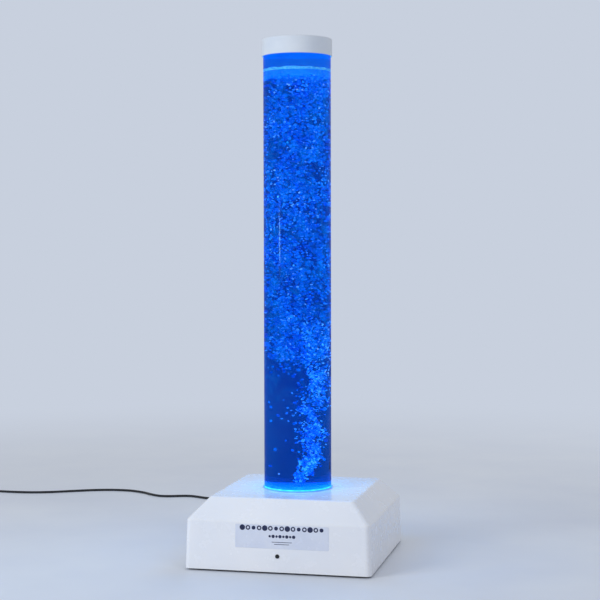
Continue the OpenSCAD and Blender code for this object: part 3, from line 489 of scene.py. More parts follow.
def makeAdaptor():
    d = adaptor
    halfX, halfY = d["width"] / 2, d["depth"] / 2
    foot = []
    for step in range(d["edgeSteps"] + 1):
        a = math.radians(90 * step / d["edgeSteps"])
        foot.append((d["edge"] * (1 - math.sin(a)), d["edge"] * (1 - math.cos(a))))
    seam, dip = d["seam"], d["seamDepth"]
    middle = [(0, seam - 0.0008), (dip, seam - 0.0003), (dip, seam + 0.0003), (0, seam + 0.0008)]
    top = [(inset, d["height"] - height) for inset, height in reversed(foot)]
    body = stacked("adaptorShell", [
        roundedLoop(halfX - inset, halfY - inset, d["corner"] - inset, height)
        for inset, height in foot + middle + top])
    body.data.transform(Matrix.Translation((cordEnd.x, cordEnd.y - d["neck"] - halfY, 0)))
    ribs = []
    for rib in range(d["ribs"]):
        along = -0.001 + d["neck"] * (rib + 0.2) / (d["ribs"] + 0.2)
        radius, far = d["neckRadius"] + d["ribGrowth"] * rib, along + d["ribWide"]
        ribs += [(d["neckRoot"], along, 0.0003), (radius, along + d["ribEdge"], 0.0004),
                 (radius, far - d["ribEdge"], 0.0004), (d["neckRoot"], far, 0.0003)]
    wide, high = d["neckTop"]
    outline = [(0, 0, 0), (d["neckEnd"], 0, 0.0004)] + ribs[1:] + [(wide, high, 0), (0, high, 0)]
    neck = turned("adaptorNeck", softOutline(outline, 2, closed=False), 32, closed=False)
    neck.data.transform(Matrix.Translation(cordEnd) @ Matrix.Rotation(math.radians(90), 4, "X"))
    return joined("adaptorBody", [body, neck])


pins = {
    "flat": (0.0064, 0.004, 0.017), "apart": 0.022, "back": 0.012, "sleeve": 0.009,
    "earth": (0.004, 0.008, 0.020), "forward": 0.013, "sunk": 0.001,
}


def makePin(name, size, middle, low, high):
    halfX, halfY = size[0] / 2, size[1] / 2
    corner = min(halfX, halfY) * 0.45
    loops = []
    for inset, height in ((0, low), (0, high - 0.0016), (0.0003, high - 0.0007), (0.0011, high)):
        loop = roundedLoop(halfX - inset, halfY - inset, corner - inset * 0.3, height, 4)
        loops.append([p + Vector((middle[0], middle[1], 0)) for p in loop])
    return stacked(name, loops)


def makePins():
    bodyY = cordEnd.y - adaptor["neck"] - adaptor["depth"] / 2
    top = adaptor["height"]
    low, sleeveTop = top - pins["sunk"], top + pins["sleeve"]
    earth = (cordEnd.x, bodyY + pins["forward"])
    metal = [makePin("earthPin", pins["earth"], earth, low, top + pins["earth"][2])]
    sleeves = []
    for side in (-1, 1):
        spot = (cordEnd.x + side * pins["apart"] / 2, bodyY - pins["back"])
        metal.append(makePin("flatPin", pins["flat"], spot, sleeveTop - pins["sunk"], top + pins["flat"][2]))
        sleeves.append(makePin("pinSleeve", pins["flat"], spot, low, sleeveTop))
    return joined("adaptorPins", metal), joined("pinSleeves", sleeves)


tie = {
    "turn": 0.625, "lay": 135, "width": 0.010, "thick": 0.0008, "side": 0.0007, "play": 0.0004,
    "corner": 0.0042,
    "flap": ((-0.005, -0.004), (0.007, -0.004), (0.0085, 0), (0.007, 0.004), (-0.005, 0.004)),
    "flapRise": (0.00002, 0.0007),
}


# a soft strap drawn round the bundle, with its free end lying back over it
def makeTie():
    middle = cord["startRadius"] - cord["pitch"] * tie["turn"]
    bundle = (cord["pitch"] + cord["diameter"]) / 2
    halfWide, halfHigh, half = bundle + tie["side"], bundle + tie["play"], tie["width"] / 2
    loops = []
    for inset, across in ((0, -half), (-tie["thick"], -half), (-tie["thick"], half), (0, half)):
        ring = roundedLoop(halfWide - inset, halfHigh - inset, tie["corner"] - inset, 0, 6)
        loops.append([Vector((p.x, across, p.y)) for p in ring])
    band = stacked("tieBand", loops, closeRing=True)
    tail = stacked("tieTail", [[Vector((x, y, halfHigh + tie["thick"] + rise)) for x, y in tie["flap"]]
                               for rise in tie["flapRise"]])
    lift = cord["coilLift"] + cord["pitch"] / 2
    strap = joined("cordTie", [band, tail])
    turn = Matrix.Rotation(math.radians(tie["lay"]), 4, "Z")
    place = Matrix.Translation((cord["coilX"], cord["coilY"], lift))
    strap.data.transform(place @ turn @ Matrix.Translation((middle, 0, 0)))
    return strap


def makeCords():
    lead = sweptTube("powerCord", cordLine, cord["diameter"] / 2, cord["sides"])
    dress(lead, cordRubber, "lamp", ["power_cord", "cord_coil"])
    sleeve = dress(makeStrainRelief(), moulding, "lamp", ["strain_relief"])
    plug = dress(makeAdaptor(), moulding, "lamp", ["adaptor_body"])
    metal, covers = makePins()
    dress(metal, pinMetal, "lamp", ["adaptor_pins"])
    dress(covers, moulding, "lamp")
    strap = dress(makeTie(), moulding, "lamp", ["cord_tie"])


makeCords()
print("cord made")


# ---- cover of the base

cover = {
    "half": 0.203, "low": 0.004, "top": 0.153, "wall": 0.004, "draft": 0.003,
    "chamferRun": 0.042, "chamferRise": 0.045, "corner": 0.012, "ridge": 0.008, "soften": 0.0005,
    "cornerSteps": 10, "edgeSteps": 10, "arcSteps": 8,
    # the rim of the tube's hole: distance out from the hole, drop below the top
    "hole": 0.0768,
    "rim": ((0.004, 0), (0.0006, 0), (0.0001, 0.0004), (0, 0.001), (0, 0.004), (0.003, 0.004)),
    "outletX": -0.060, "outletZ": 0.024, "slot": 0.0095, "buttonHole": 0.0041, "cutReach": 0.012,
    "window": (0.060, 0.130, 0.012, 0.052), "windowCorner": 0.003,
    "post": 0.178, "postRadius": 0.008, "postBore": 0.0015, "postLow": 0.009, "postTop": 0.060,
    "webFrom": 0.0065, "webEnd": 0.279, "webHalf": 0.002,
    "colour": srgb(233, 233, 238), "second": srgb(224, 226, 234), "dust": srgb(176, 174, 172),
    "rough": (0.2, 0.32), "dusty": (0.004, 0.022),
}
wallLean = math.atan(cover["draft"] / (cover["top"] - cover["chamferRise"] - cover["low"]))


def coverLoops(inset):
    slope = math.atan2(cover["chamferRise"], cover["chamferRun"])
    turn = math.pi / 2 - slope
    ridge = cover["ridge"]
    crease = cover["half"] - cover["draft"]
    lowArc = (crease - ridge, cover["top"] - cover["chamferRise"] - ridge * math.tan(turn / 2))
    topArc = (crease - cover["chamferRun"] - ridge * math.tan(slope / 2), cover["top"] - ridge)
    radius, plan = ridge - inset, cover["corner"] - ridge
    spots = [(cover["half"] - inset, cover["low"], cover["corner"] - inset)]
    for middle, first, last in ((lowArc, wallLean, turn), (topArc, turn, math.pi / 2)):
        for step in range(cover["arcSteps"] + 1):
            a = first + (last - first) * step / cover["arcSteps"]
            out, up = radius * math.cos(a), radius * math.sin(a)
            spots.append((middle[0] + out, middle[1] + up, plan + out))
    return [roundedLoop(half, half, corner, height, cover["cornerSteps"], cover["edgeSteps"])
            for half, height, corner in spots]


def holeLoop(like, radius, height):
    loop = []
    for p in like:
        a = math.atan2(p.y, p.x)
        loop.append(Vector((radius * math.cos(a), radius * math.sin(a), height)))
    return loop


# a block with rounded upright edges that reaches through the back wall
def backCutter(name, x0, x1, z0, z1, corner):
    ring = roundedLoop((x1 - x0) / 2, (z1 - z0) / 2, corner, 0, 5)
    middle = Vector(((x0 + x1) / 2, 0, (z0 + z1) / 2))
    loops = [[Vector((p.x, y, p.y)) + middle for p in ring]
             for y in (cover["half"] - cover["cutReach"], cover["half"] + cover["cutReach"])]
    return stacked(name, loops)


# a frame on the front wall: x across, y up the wall, z out of it
def frontPlace(x, z):
    y = -cover["half"] + (z - cover["low"]) * math.tan(wallLean)
    return Matrix.Translation((x, y, z)) @ Matrix.Rotation(math.pi / 2 - wallLean, 4, "X")


def makeShell():
    outer, inner = coverLoops(0), coverLoops(cover["wall"])
    rim = [holeLoop(outer[-1], cover["hole"] + away, cover["top"] - drop) for away, drop in cover["rim"]]
    shell = stacked("coverShell", outer + rim + inner[::-1], closeRing=True)
    x, slot = cover["outletX"], cover["slot"]
    hole, reach = cover["buttonHole"], cover["cutReach"]
    cutters = [
        backCutter("windowCutter", *cover["window"], cover["windowCorner"]),
        backCutter("slotCutter", x - slot, x + slot, -0.02, cover["outletZ"] + slot, slot - 0.00001),
        turned("buttonCutter", [(0, -reach), (hole, -reach), (hole, reach), (0, reach)], 32, closed=False),
    ]
    cutters[2].data.transform(frontPlace(button["x"], button["z"]))
    for cutter in cutters:
        cut = shell.modifiers.new("cut", "BOOLEAN")
        cut.object = cutter
        cut.solver = "EXACT"
    soften = shell.modifiers.new("soften", "BEVEL")
    soften.width = cover["soften"]
    soften.segments = 2
    soften.limit_method = "ANGLE"
    soften.angle_limit = math.radians(50)
    bakeModifiers(shell)
    for cutter in cutters:
        bpy.data.objects.remove(cutter)
    return shell


# a post for each cover screw, held to the corner of the wall by a web
def makePosts():
    low, top = cover["postLow"], cover["postTop"]
    bore, radius = cover["postBore"], cover["postRadius"]
    reach = cover["post"] * math.sqrt(2)
    webStart, webEnd = reach + cover["webFrom"], cover["webEnd"]
    posts = []
    for quarter in range(4):
        a = math.radians(90 * quarter + 45)
        outline = [(bore, low), (radius, low), (radius, top), (bore, top)]
        posts.append(turned("coverPost", outline, 32, (reach * math.cos(a), reach * math.sin(a))))
        web = stacked("coverWeb", [roundedLoop((webEnd - webStart) / 2, cover["webHalf"], 0.0004, z, 2)
                                   for z in (low, top)])
        web.data.transform(Matrix.Rotation(a, 4, "Z") @ Matrix.Translation(((webStart + webEnd) / 2, 0, 0)))
        posts.append(web)
    return posts


def makeCover():
    piece = joined("coverMoulding", [makeShell()] + makePosts())
    even = piece.modifiers.new("even", "WEIGHTED_NORMAL")
    even.keep_sharp = True
    return bakeModifiers(piece, None)


# white moulded plastic: an even satin with a faint mould grain, a little dusty just above the floor
def coverFinish():
    material, tree, place, shader = opaqueMaterial(
        "whiteMoulding", IOR=1.5, Coat_Weight=0.35, Coat_Roughness=0.12)
    white = mixedColour(tree, patches(tree, place, 0.35, 0.7, 5, 5), cover["colour"], cover["second"])
    scuffs = remapped(tree, noiseAt(tree, place, 160, 6, 0.7, 0.6), 0.55, 0.78, 0, 0.25)
    nearFloor = remapped(tree, heightAt(tree, place), *cover["dusty"], 1, 0)
    tint(tree, shader, "Base Color", product(tree, scuffs, nearFloor), white, cover["dust"])
    handled = remapped(tree, noiseAt(tree, place, 24, 5, 0.65), 0.3, 0.75, *cover["rough"])
    tree.links.new(handled, shader.inputs["Roughness"])
    bumped(tree, shader, noiseAt(tree, place, 1400, 2), 0.00001, 0.25)
    return material


# ---- push-button on the front

button = {
    "x": 0.002, "z": 0.038, "bezel": 0.0045, "bezelOut": 0.0014, "well": 0.0032, "wellDeep": 0.011,
    "barrel": 0.0039, "barrelIn": 0.016, "switch": 0.0055, "switchIn": 0.026,
    "cap": 0.0029, "capOut": 0.0032, "skirt": 0.006, "dome": 0.0007,
}


def makeButton():
    b = button
    place = frontPlace(b["x"], b["z"])
    outline = softOutline([
        (b["well"], -b["wellDeep"], 0), (b["well"], b["bezelOut"] - 0.0004, 0.0002),
        (b["well"] + 0.0003, b["bezelOut"], 0.0002), (b["bezel"] - 0.0003, b["bezelOut"], 0.0004),
        (b["bezel"], 0, 0.0004), (b["barrel"], 0, 0), (b["barrel"], -b["barrelIn"], 0.0003),
        (b["switch"], -b["barrelIn"], 0.0005), (b["switch"], -b["switchIn"], 0.0008), (0, -b["switchIn"], 0),
        (0, -b["wellDeep"], 0),
    ], 4)
    bezel = turned("buttonBezel", outline, 48)
    bezel.data.transform(place)
    dress(bezel, moulding, "lamp", ["button_bezel"])
    outline = [(0, -b["skirt"]), (b["cap"], -b["skirt"])]
    for degrees in range(0, 91, 10):
        a = math.radians(degrees)
        outline.append((b["cap"] * math.cos(a), b["capOut"] - b["dome"] + b["dome"] * math.sin(a)))
    cap = turned("buttonCap", outline, 48, closed=False)
    cap.data.transform(place)
    dress(cap, moulding, "button", ["button_cap"])


# ---- label film with a plain pattern of rings, dots and rules

label = {
    "x": 0.0115, "z": 0.054, "width": 0.203, "height": 0.050, "thick": 0.00035, "corner": 0.0022,
    "colour": srgb(214, 218, 232), "second": srgb(206, 211, 228), "rough": (0.18, 0.3),
    "inkThick": 0.00012, "bigRow": 0.0430, "bigCount": 15, "bigSpan": 0.172, "bigRadius": (0.0042, 0.0060),
    "ringShare": 0.48,
    "smallRow": 0.0262, "smallCount": 8, "smallSpan": 0.052, "smallRadius": (0.0026, 0.0036),
    "rules": ((0.0140, 0.044), (0.0095, 0.033)), "ruleHalf": 0.00055,
}


def flatDisc(outerRadius, innerRadius, spot, low, high, steps=28):
    outline = [(innerRadius, low), (outerRadius, low), (outerRadius, high), (innerRadius, high)]
    if innerRadius > 0:
        return turned("inkRing", outline, steps, spot)
    return turned("inkDot", outline, steps, spot, closed=False)


def labelFinish():
    material, tree, place, shader = opaqueMaterial("labelFilm", IOR=1.5, Coat_Weight=0.4, Coat_Roughness=0.08)
    cloud = patches(tree, place, 0.35, 0.65, 26, 4)
    tint(tree, shader, "Base Color", cloud, label["colour"], label["second"])
    unevenGloss(tree, place, shader, 60, 3, label["rough"])
    bumped(tree, shader, noiseAt(tree, place, 55, 3), 0.00012, 0.3)
    return material


def labelPattern():
    low, high = label["thick"] * 0.9, label["thick"] + label["inkThick"]
    small, big = label["bigRadius"]
    marks = []
    for i in range(label["bigCount"]):
        x = label["bigSpan"] * (i / (label["bigCount"] - 1) - 0.5)
        radius = small + (big - small) * (0.5 + 0.5 * math.cos(i * math.pi / 2))
        hollow = radius * label["ringShare"] if i % 2 else 0
        marks.append(flatDisc(radius, hollow, (x, label["bigRow"]), low, high))
    for i in range(label["smallCount"]):
        x = label["smallSpan"] * (i / (label["smallCount"] - 1) - 0.5)
        marks.append(flatDisc(label["smallRadius"][i % 2], 0, (x, label["smallRow"]), low, high, 20))
    for row, length in label["rules"]:
        loops = [roundedLoop(length / 2, label["ruleHalf"], 0.0005, height, 3) for height in (low, high)]
        marks.append(stacked("inkRule", [[p + Vector((0, row, 0)) for p in loop] for loop in loops]))
    return joined("labelMarks", marks)


def makeLabel():
    place = frontPlace(label["x"], label["z"])
    halfX, halfY = label["width"] / 2, label["height"] / 2
    loops = []
    for inset, height in ((0.0, 0.0), (0.0, label["thick"] * 0.5), (0.0002, label["thick"])):
        loop = roundedLoop(halfX - inset, halfY - inset, label["corner"] - inset, height)
        loops.append([p + Vector((0, halfY, 0)) for p in loop])
    film = stacked("labelFilm", loops)
    film.data.transform(place)
    dress(film, labelFinish(), "lamp", ["label_plate"])
    marks = labelPattern()
    marks.data.transform(place)
    ink = plainFinish("navyInk", plainLook(
        (26, 32, 66), (34, 42, 80), (0.32, 0.45), driftScale=60, grainScale=2500))
    dress(marks, ink, "lamp")


def makeBase():
    dress(makeCover(), coverFinish(), "lamp", ["base_cover"])
    makeButton()
    makeLabel()


makeBase()
print("base made")


# ---- tube, water and bubbles

tube = {
    "bore": 0.070, "waterGap": 0.00006, "floorTop": 0.157, "waterTop": 1.078, "mistFrom": 1.0835,
    "steps": 96, "waterLevels": 12,
}


# distance from the tube's axis, for finishes that change between outer and inner surfaces
def axisDistance(tree, place):
    split = addNode(tree, "SeparateXYZ")
    tree.links.new(place, split.inputs["Vector"])
    flat = addNode(tree, "CombineXYZ")
    for side in "XY":
        tree.links.new(split.outputs[side], flat.inputs[side])
    away = addNode(tree, "VectorMath", operation="LENGTH")
    tree.links.new(flat.outputs["Vector"], away.inputs[0])
    return away.outputs["Value"]


acrylic = {
    "bend": 1.34, "halfWay": 0.0725, "clear": (0.97, 0.99, 1, 1), "flange": (0.85, 0.94, 1, 1),
    "glossPower": 6, "glossShare": (0.009, 0.34), "rough": (0.115, 0.145), "flangeSmudge": 0.05,
    # the misted film's blue tint and glow colours are painted lamp light
    "mistTint": (0.14, 0.60, 0.95, 1), "mistGlow": (0.0, 0.066, 0.72, 1), "mistGlowLight": (0.0, 0.165, 0.98, 1),
    "mistShare": (0.42, 0.68),
}


# the gloss on clear acrylic, and its share, which grows towards the edge
def glossEdge(tree, place, smudge):
    gloss = addNode(tree, "BsdfGlossy")
    edge = addNode(tree, "LayerWeight", Blend=0.5)
    rise = combined(tree, "POWER", edge.outputs["Facing"], acrylic["glossPower"])
    smear = noiseAt(tree, place, 18, 5, 0.65)
    low, high = acrylic["rough"]
    tree.links.new(remapped(tree, smear, 0.4, 0.75, low, high + smudge), gloss.inputs["Roughness"])
    return gloss.outputs[0], remapped(tree, rise, 0, 1, *acrylic["glossShare"])


def flangeFinish():
    material, tree, out, place = blankMaterial("flangeAcrylic")
    clear = addNode(tree, "BsdfTransparent", Color=acrylic["flange"])
    gloss, shine = glossEdge(tree, place, acrylic["flangeSmudge"])
    tree.links.new(mixedShader(tree, shine, clear.outputs[0], gloss), out.inputs["Surface"])
    return material


# below the water line the wall and the water bend light as one; above it the inside is misted over, and the
# misted film's blue tint and glow are painted lamp light
def tubeFinish():
    material, tree, out, place = blankMaterial("clearAcrylic")
    away, half = axisDistance(tree, place), acrylic["halfWay"]
    outer = remapped(tree, away, half - 0.0001, half + 0.0001, 0, 1)
    inner = remapped(tree, away, half - 0.0001, half + 0.0001, 1, 0)
    dry = remapped(tree, heightAt(tree, place), tube["mistFrom"], tube["mistFrom"] + 0.0012, 0, 1)
    rays = addNode(tree, "LightPath")
    seen = remapped(tree, rays.outputs["Is Shadow Ray"], 0, 1, 1, 0)
    clear = addNode(tree, "BsdfTransparent", Color=acrylic["clear"])
    bend = addNode(tree, "BsdfRefraction", Color=acrylic["clear"], IOR=acrylic["bend"], Roughness=0.0)
    wall = mixedShader(tree, product(tree, outer, seen), clear.outputs[0], bend.outputs[0])
    # painted lamp light in the misted film: a blue see-through tint and a glow in droplet patches
    tinted, mistGlow = addNode(tree, "BsdfTransparent", Color=acrylic["mistTint"]), addNode(tree, "Emission")
    drops = patches(tree, place, 0.45, 0.62, 420, 3, 0.7)
    tint(tree, mistGlow, "Color", drops, acrylic["mistGlow"], acrylic["mistGlowLight"])
    thick = remapped(tree, noiseAt(tree, place, 45, 4, 0.6), 0.3, 0.7, *acrylic["mistShare"])
    film = mixedShader(tree, thick, tinted.outputs[0], mistGlow.outputs[0])
    misted = mixedShader(tree, product(tree, inner, dry), wall, film)
    gloss, shine = glossEdge(tree, place, 0.0)
    tree.links.new(mixedShader(tree, product(tree, outer, shine), misted, gloss), out.inputs["Surface"])
    return material


water = {
    # the glow colours, tint and absorption below are painted blue lamp light
    "veilGlow": (0.0, 0.058, 0.43, 1), "veilGlowLight": (0.0, 0.148, 0.74, 1), "veilShare": (0.20, 0.58),
    "clearTo": 0.30, "cloudedFrom": 0.52, "clearShare": 0.18,
    "tint": (0.40, 0.50, 0.84, 1), "absorb": (0.08, 0.75, 0.93, 1), "density": 40,
}


# water lit blue: clear at the foot, clouded higher up by bubbles too small to see; the blue of its tint,
# absorption and cloud glow is painted lamp light
def waterFinish():
    material, tree, out, place = blankMaterial("litWater")
    clear, glow = addNode(tree, "BsdfTransparent"), addNode(tree, "Emission")
    height = heightAt(tree, place)
    low, high = tube["floorTop"] + 0.00015, tube["waterTop"] - 0.0001
    inside = product(tree, remapped(tree, height, low, low + 0.0002, 0, 1),
                     remapped(tree, height, high - 0.0002, high, 1, 0))
    tint(tree, clear, "Color", inside, (1, 1, 1, 1), water["tint"])
    share = patches(tree, place, 0.40, 0.66, 34, 5, 0.62, 0.9)
    # painted glow of the lamp light in the clouded water
    tint(tree, glow, "Color", share, water["veilGlow"], water["veilGlowLight"])
    murk = remapped(tree, height, water["clearTo"], water["cloudedFrom"], water["clearShare"], 1)
    cloud = product(tree, remapped(tree, share, 0, 1, *water["veilShare"]), product(tree, murk, inside))
    tree.links.new(mixedShader(tree, cloud, clear.outputs[0], glow.outputs[0]), out.inputs["Surface"])
    soak = addNode(tree, "VolumeAbsorption", Color=water["absorb"], Density=water["density"])
    tree.links.new(soak.outputs[0], out.inputs["Volume"])
    return material


def makeWater():
    radius, steps, levels = tube["bore"] - tube["waterGap"], tube["steps"], tube["waterLevels"]
    low = tube["floorTop"] + 0.00005
    angles = [2 * math.pi * step / steps for step in range(steps)]
    loops = []
    for level in range(levels + 1):
        z = low + (tube["waterTop"] - low) * level / levels
        loops.append([Vector((radius * math.cos(a), radius * math.sin(a), z)) for a in angles])
    dress(stacked("waterBody", loops), waterFinish(), "lamp", ["water_column"])


froth = {
    "radius": 0.0697, "top": 1.0830, "low": 1.0672, "wave": 0.0058, "rings": 26, "steps": 120,
    "swell": 38, "ripple": 110, "cells": 260, "rim": (0.0680, 0.0690),
    "colour": (0.02, 0.28, 0.90, 1), "second": (0.22, 0.66, 1.0, 1),
    "under": ((0.0, 0.42, 1.1, 1), (0.06, 0.82, 1.3, 1)),
    "side": ((0.0, 0.26, 0.88, 1), (0.02, 0.54, 1.1, 1)),
    "strengthAbove": 0.30,
}


# the foam's blue colours and its glow are painted lamp light, dimmer at the rim and above the water line
def frothFinish():
    material, tree, place, shader = opaqueMaterial("frothyWater", Roughness=0.25)
    cells = cellsAt(tree, place, froth["cells"])
    foam = remapped(tree, cells, 0.0, 0.6, 1, 0)
    tint(tree, shader, "Base Color", foam, froth["colour"], froth["second"])
    swirl = patches(tree, place, 0.4, 0.62, 34, 5, 0.6, 1.2)
    rim = remapped(tree, axisDistance(tree, place), *froth["rim"], 0, 1)
    # painted glow: brighter seen from below, dimmer at the rim
    under, side = (mixedColour(tree, swirl, *froth[part]) for part in ("under", "side"))
    tint(tree, shader, "Emission Color", rim, under, side)
    height, line = heightAt(tree, place), tube["waterTop"]
    strength = remapped(tree, height, line - 0.0001, line + 0.0001, 1.0, froth["strengthAbove"])
    tree.links.new(strength, shader.inputs["Emission Strength"])
    bumped(tree, shader, cells, 0.0008, 0.6)
    return material


# the stirred surface: a wavy sheet of foam seen from below through the water
def makeFroth():
    rings, steps = froth["rings"], froth["steps"]
    points, faces = [], []
    for side, height, wave in ((0, froth["low"], froth["wave"]), (1, froth["top"], froth["wave"] * 0.8)):
        for ring in range(rings + 1):
            radius = froth["radius"] * ring / rings
            for step in range(steps):
                a = 2 * math.pi * step / steps
                x, y = radius * math.cos(a), radius * math.sin(a)
                swell = noise.noise(Vector((x * froth["swell"], y * froth["swell"], 3.3 + side)))
                ripple = noise.noise(Vector((x * froth["ripple"], y * froth["ripple"], 9.1)))
                points.append((x, y, height + wave * (swell + 0.5 * ripple)))
    half = (rings + 1) * steps
    for side in (0, 1):
        for ring in range(rings):
            for step in range(steps):
                a = side * half + ring * steps + step
                b = side * half + ring * steps + (step + 1) % steps
                faces.append((a, a + steps, b + steps, b))
    edge = rings * steps
    for step in range(steps):
        after = (step + 1) % steps
        faces.append((edge + step, edge + after, half + edge + after, half + edge + step))
    dress(meshPiece("waterSurface", points, faces, 60), frothFinish(), "lamp")


bubbles = {
    "seed": 11, "count": 4350, "plumeCount": 1750, "plumeTop": 0.355,
    "low": 0.168, "high": 1.070, "reach": 0.0675, "tip": 0.166, "side": 13,
    # the plume: height above the nozzle's tip, lean, spread of its core, spread of the loose bubbles
    "plume": [
        (0.000, 0.002, 0.003, 0.004), (0.025, 0.011, 0.006, 0.008), (0.055, 0.023, 0.008, 0.010),
        (0.130, 0.022, 0.011, 0.014), (0.180, 0.026, 0.013, 0.018), (0.225, 0.035, 0.012, 0.024),
        (0.255, 0.037, 0.011, 0.052), (0.290, 0.036, 0.012, 0.085), (0.330, 0.029, 0.015, 0.115),
        (0.375, 0.020, 0.024, 0.135), (0.460, 0.000, 0.100, 0.170), (0.920, 0.000, 0.200, 0.260),
    ],
    # chances that a drawn bubble stays: in the plume, at its foot, in the cloud, and strays far from both
    "plumeCrowd": 1.1, "plumeKept": 0.22, "wispScale": 55, "wispWeight": 2.2, "footKept": 0.75, "footFade": 8,
    "cloudKept": 0.42, "clumpScale": 26, "clumpWeight": 1.5, "strays": 0.02, "strayRise": 6,
    # shares of bright bubbles, and of bright and middle ones together
    "plumeKinds": (0.50, 0.90), "cloudKinds": (0.12, 0.52), "sizeLean": (1.4, 2.6),
    "fineness": 2, "largeFineness": 3,
}


def plumeAt(height):
    heights, *columns = np.array(bubbles["plume"]).T
    lean, core, loose = (float(np.interp(height - bubbles["tip"], heights, column)) for column in columns)
    a = math.radians(bubbles["side"])
    return lean * math.cos(a), lean * math.sin(a), core, loose


def clumpAt(x, y, z, scale):
    coarse = noise.noise(Vector((x * scale, y * scale, z * scale * 0.7)))
    return coarse + 0.5 * noise.noise(Vector((x * scale * 2.7, y * scale * 2.7, z * scale * 2)))


# a plume that leans over above the nozzle, and round and above it the whole bore in drifting clumps
def scatterBubbles(rng):
    b = bubbles
    spots = []
    while len(spots) < b["plumeCount"]:
        z = b["low"] + b["plumeTop"] * rng.random() ** b["plumeCrowd"]
        x, y, core, loose = plumeAt(z)
        x += rng.normal() * core
        y += rng.normal() * core
        atFoot = max(0, b["footKept"] - (z - b["low"]) * b["footFade"])
        share = b["plumeKept"] + b["wispWeight"] * clumpAt(x, y, z, b["wispScale"]) + atFoot
        if math.hypot(x, y) < b["reach"] and rng.random() < share:
            spots.append((x, y, z, "plumeKinds"))
    while len(spots) < b["plumeCount"] + b["count"]:
        z = b["low"] + (b["high"] - b["low"]) * rng.random()
        radius, a = b["reach"] * math.sqrt(rng.random()), 2 * math.pi * rng.random()
        x, y = radius * math.cos(a), radius * math.sin(a)
        px, py, core, loose = plumeAt(z)
        near = math.exp(-((x - px) ** 2 + (y - py) ** 2) / (2 * loose ** 2))
        share = near * (b["cloudKept"] + b["clumpWeight"] * clumpAt(x, y, z, b["clumpScale"]))
        share += b["strays"] * min(1, (z - b["low"]) * b["strayRise"])
        if rng.random() < share:
            spots.append((x, y, z, "cloudKinds"))
    return spots


# one mesh of many small balls, each squashed flat by its rise and tilted its own way
def bubbleCloud(name, spots, sizes, rng, ball, look, material):
    corners, faces = ball
    count = len(spots)
    stretch = np.array(look["shape"]) * (1 + look["uneven"] * (rng.random((count, 3)) - 0.5))
    angles = math.radians(look["tilt"]) * (2 * rng.random(count) - 1)
    shaped = corners[None, :, :] * (sizes[:, None] * stretch)[:, None, :]
    c, s = np.cos(angles)[:, None], np.sin(angles)[:, None]
    turnedX = shaped[:, :, 0] * c - shaped[:, :, 2] * s
    turnedZ = shaped[:, :, 0] * s + shaped[:, :, 2] * c
    middle = np.array([p[:3] for p in spots])
    points = np.stack([turnedX, shaped[:, :, 1], turnedZ], 2) + middle[:, None, :]
    shifts = (np.arange(count) * len(corners))[:, None, None]
    allFaces = (faces[None, :, :] + shifts).reshape(-1, 3)
    mesh = bpy.data.meshes.new(name)
    mesh.from_pydata(points.reshape(-1, 3).tolist(), [], allFaces.tolist())
    mesh.polygons.foreach_set("use_smooth", [True] * len(mesh.polygons))
    piece = bpy.data.objects.new(name, mesh)
    bpy.context.scene.collection.objects.link(piece)
    return dress(piece, material, "lamp")


# centres and radii of the large bubbles, read from their solids
def largeBubbles():
    work = bmesh.new()
    work.from_mesh(nodes["air_bubbles"].data)
    bmesh.ops.remove_doubles(work, verts=work.verts, dist=1e-6)
    left = set(work.verts)
    found = []
    while left:
        start = left.pop()
        group, edge = [start], [start]
        while edge:
            vert = edge.pop()
            for link in vert.link_edges:
                other = link.other_vert(vert)
                if other in left:
                    left.remove(other)
                    group.append(other)
                    edge.append(other)
        spots = np.array([v.co[:] for v in group])
        middle = (spots.min(0) + spots.max(0)) / 2
        found.append((*middle, float((spots.max(0) - spots.min(0)).max() / 2)))
    work.free()
    return sorted(found, key=lambda b: b[2])


def ballShape(fineness):
    work = bmesh.new()
    bmesh.ops.create_icosphere(work, subdivisions=fineness, radius=1)
    work.verts.ensure_lookup_table()
    corners = np.array([v.co[:] for v in work.verts])
    faces = np.array([[v.index for v in f.verts] for f in work.faces])
    work.free()
    return corners, faces


# a bubble's blue colour and glow are painted lamp light
def bubbleFinish(name, look):
    material, tree, place, shader = opaqueMaterial(name, Roughness=0.12)
    halved = remapped(tree, noiseAt(tree, place, 24, 3, 0.6), 0, 1, 0, 0.5)
    drift = combined(tree, "MULTIPLY_ADD", noiseAt(tree, place, 130, 2, 0.6), 0.5, halved)
    flicker = remapped(tree, drift, 0.40, 0.60, 0, 1)
    tint(tree, shader, "Base Color", flicker, look["colour"], look["second"])
    tint(tree, shader, "Emission Color", flicker, look["glow"], look["glowSecond"])
    strength = remapped(tree, noiseAt(tree, place, 19, 4, 0.6, 0.8), 0.38, 0.64, *look["strength"])
    tree.links.new(strength, shader.inputs["Emission Strength"])
    return material


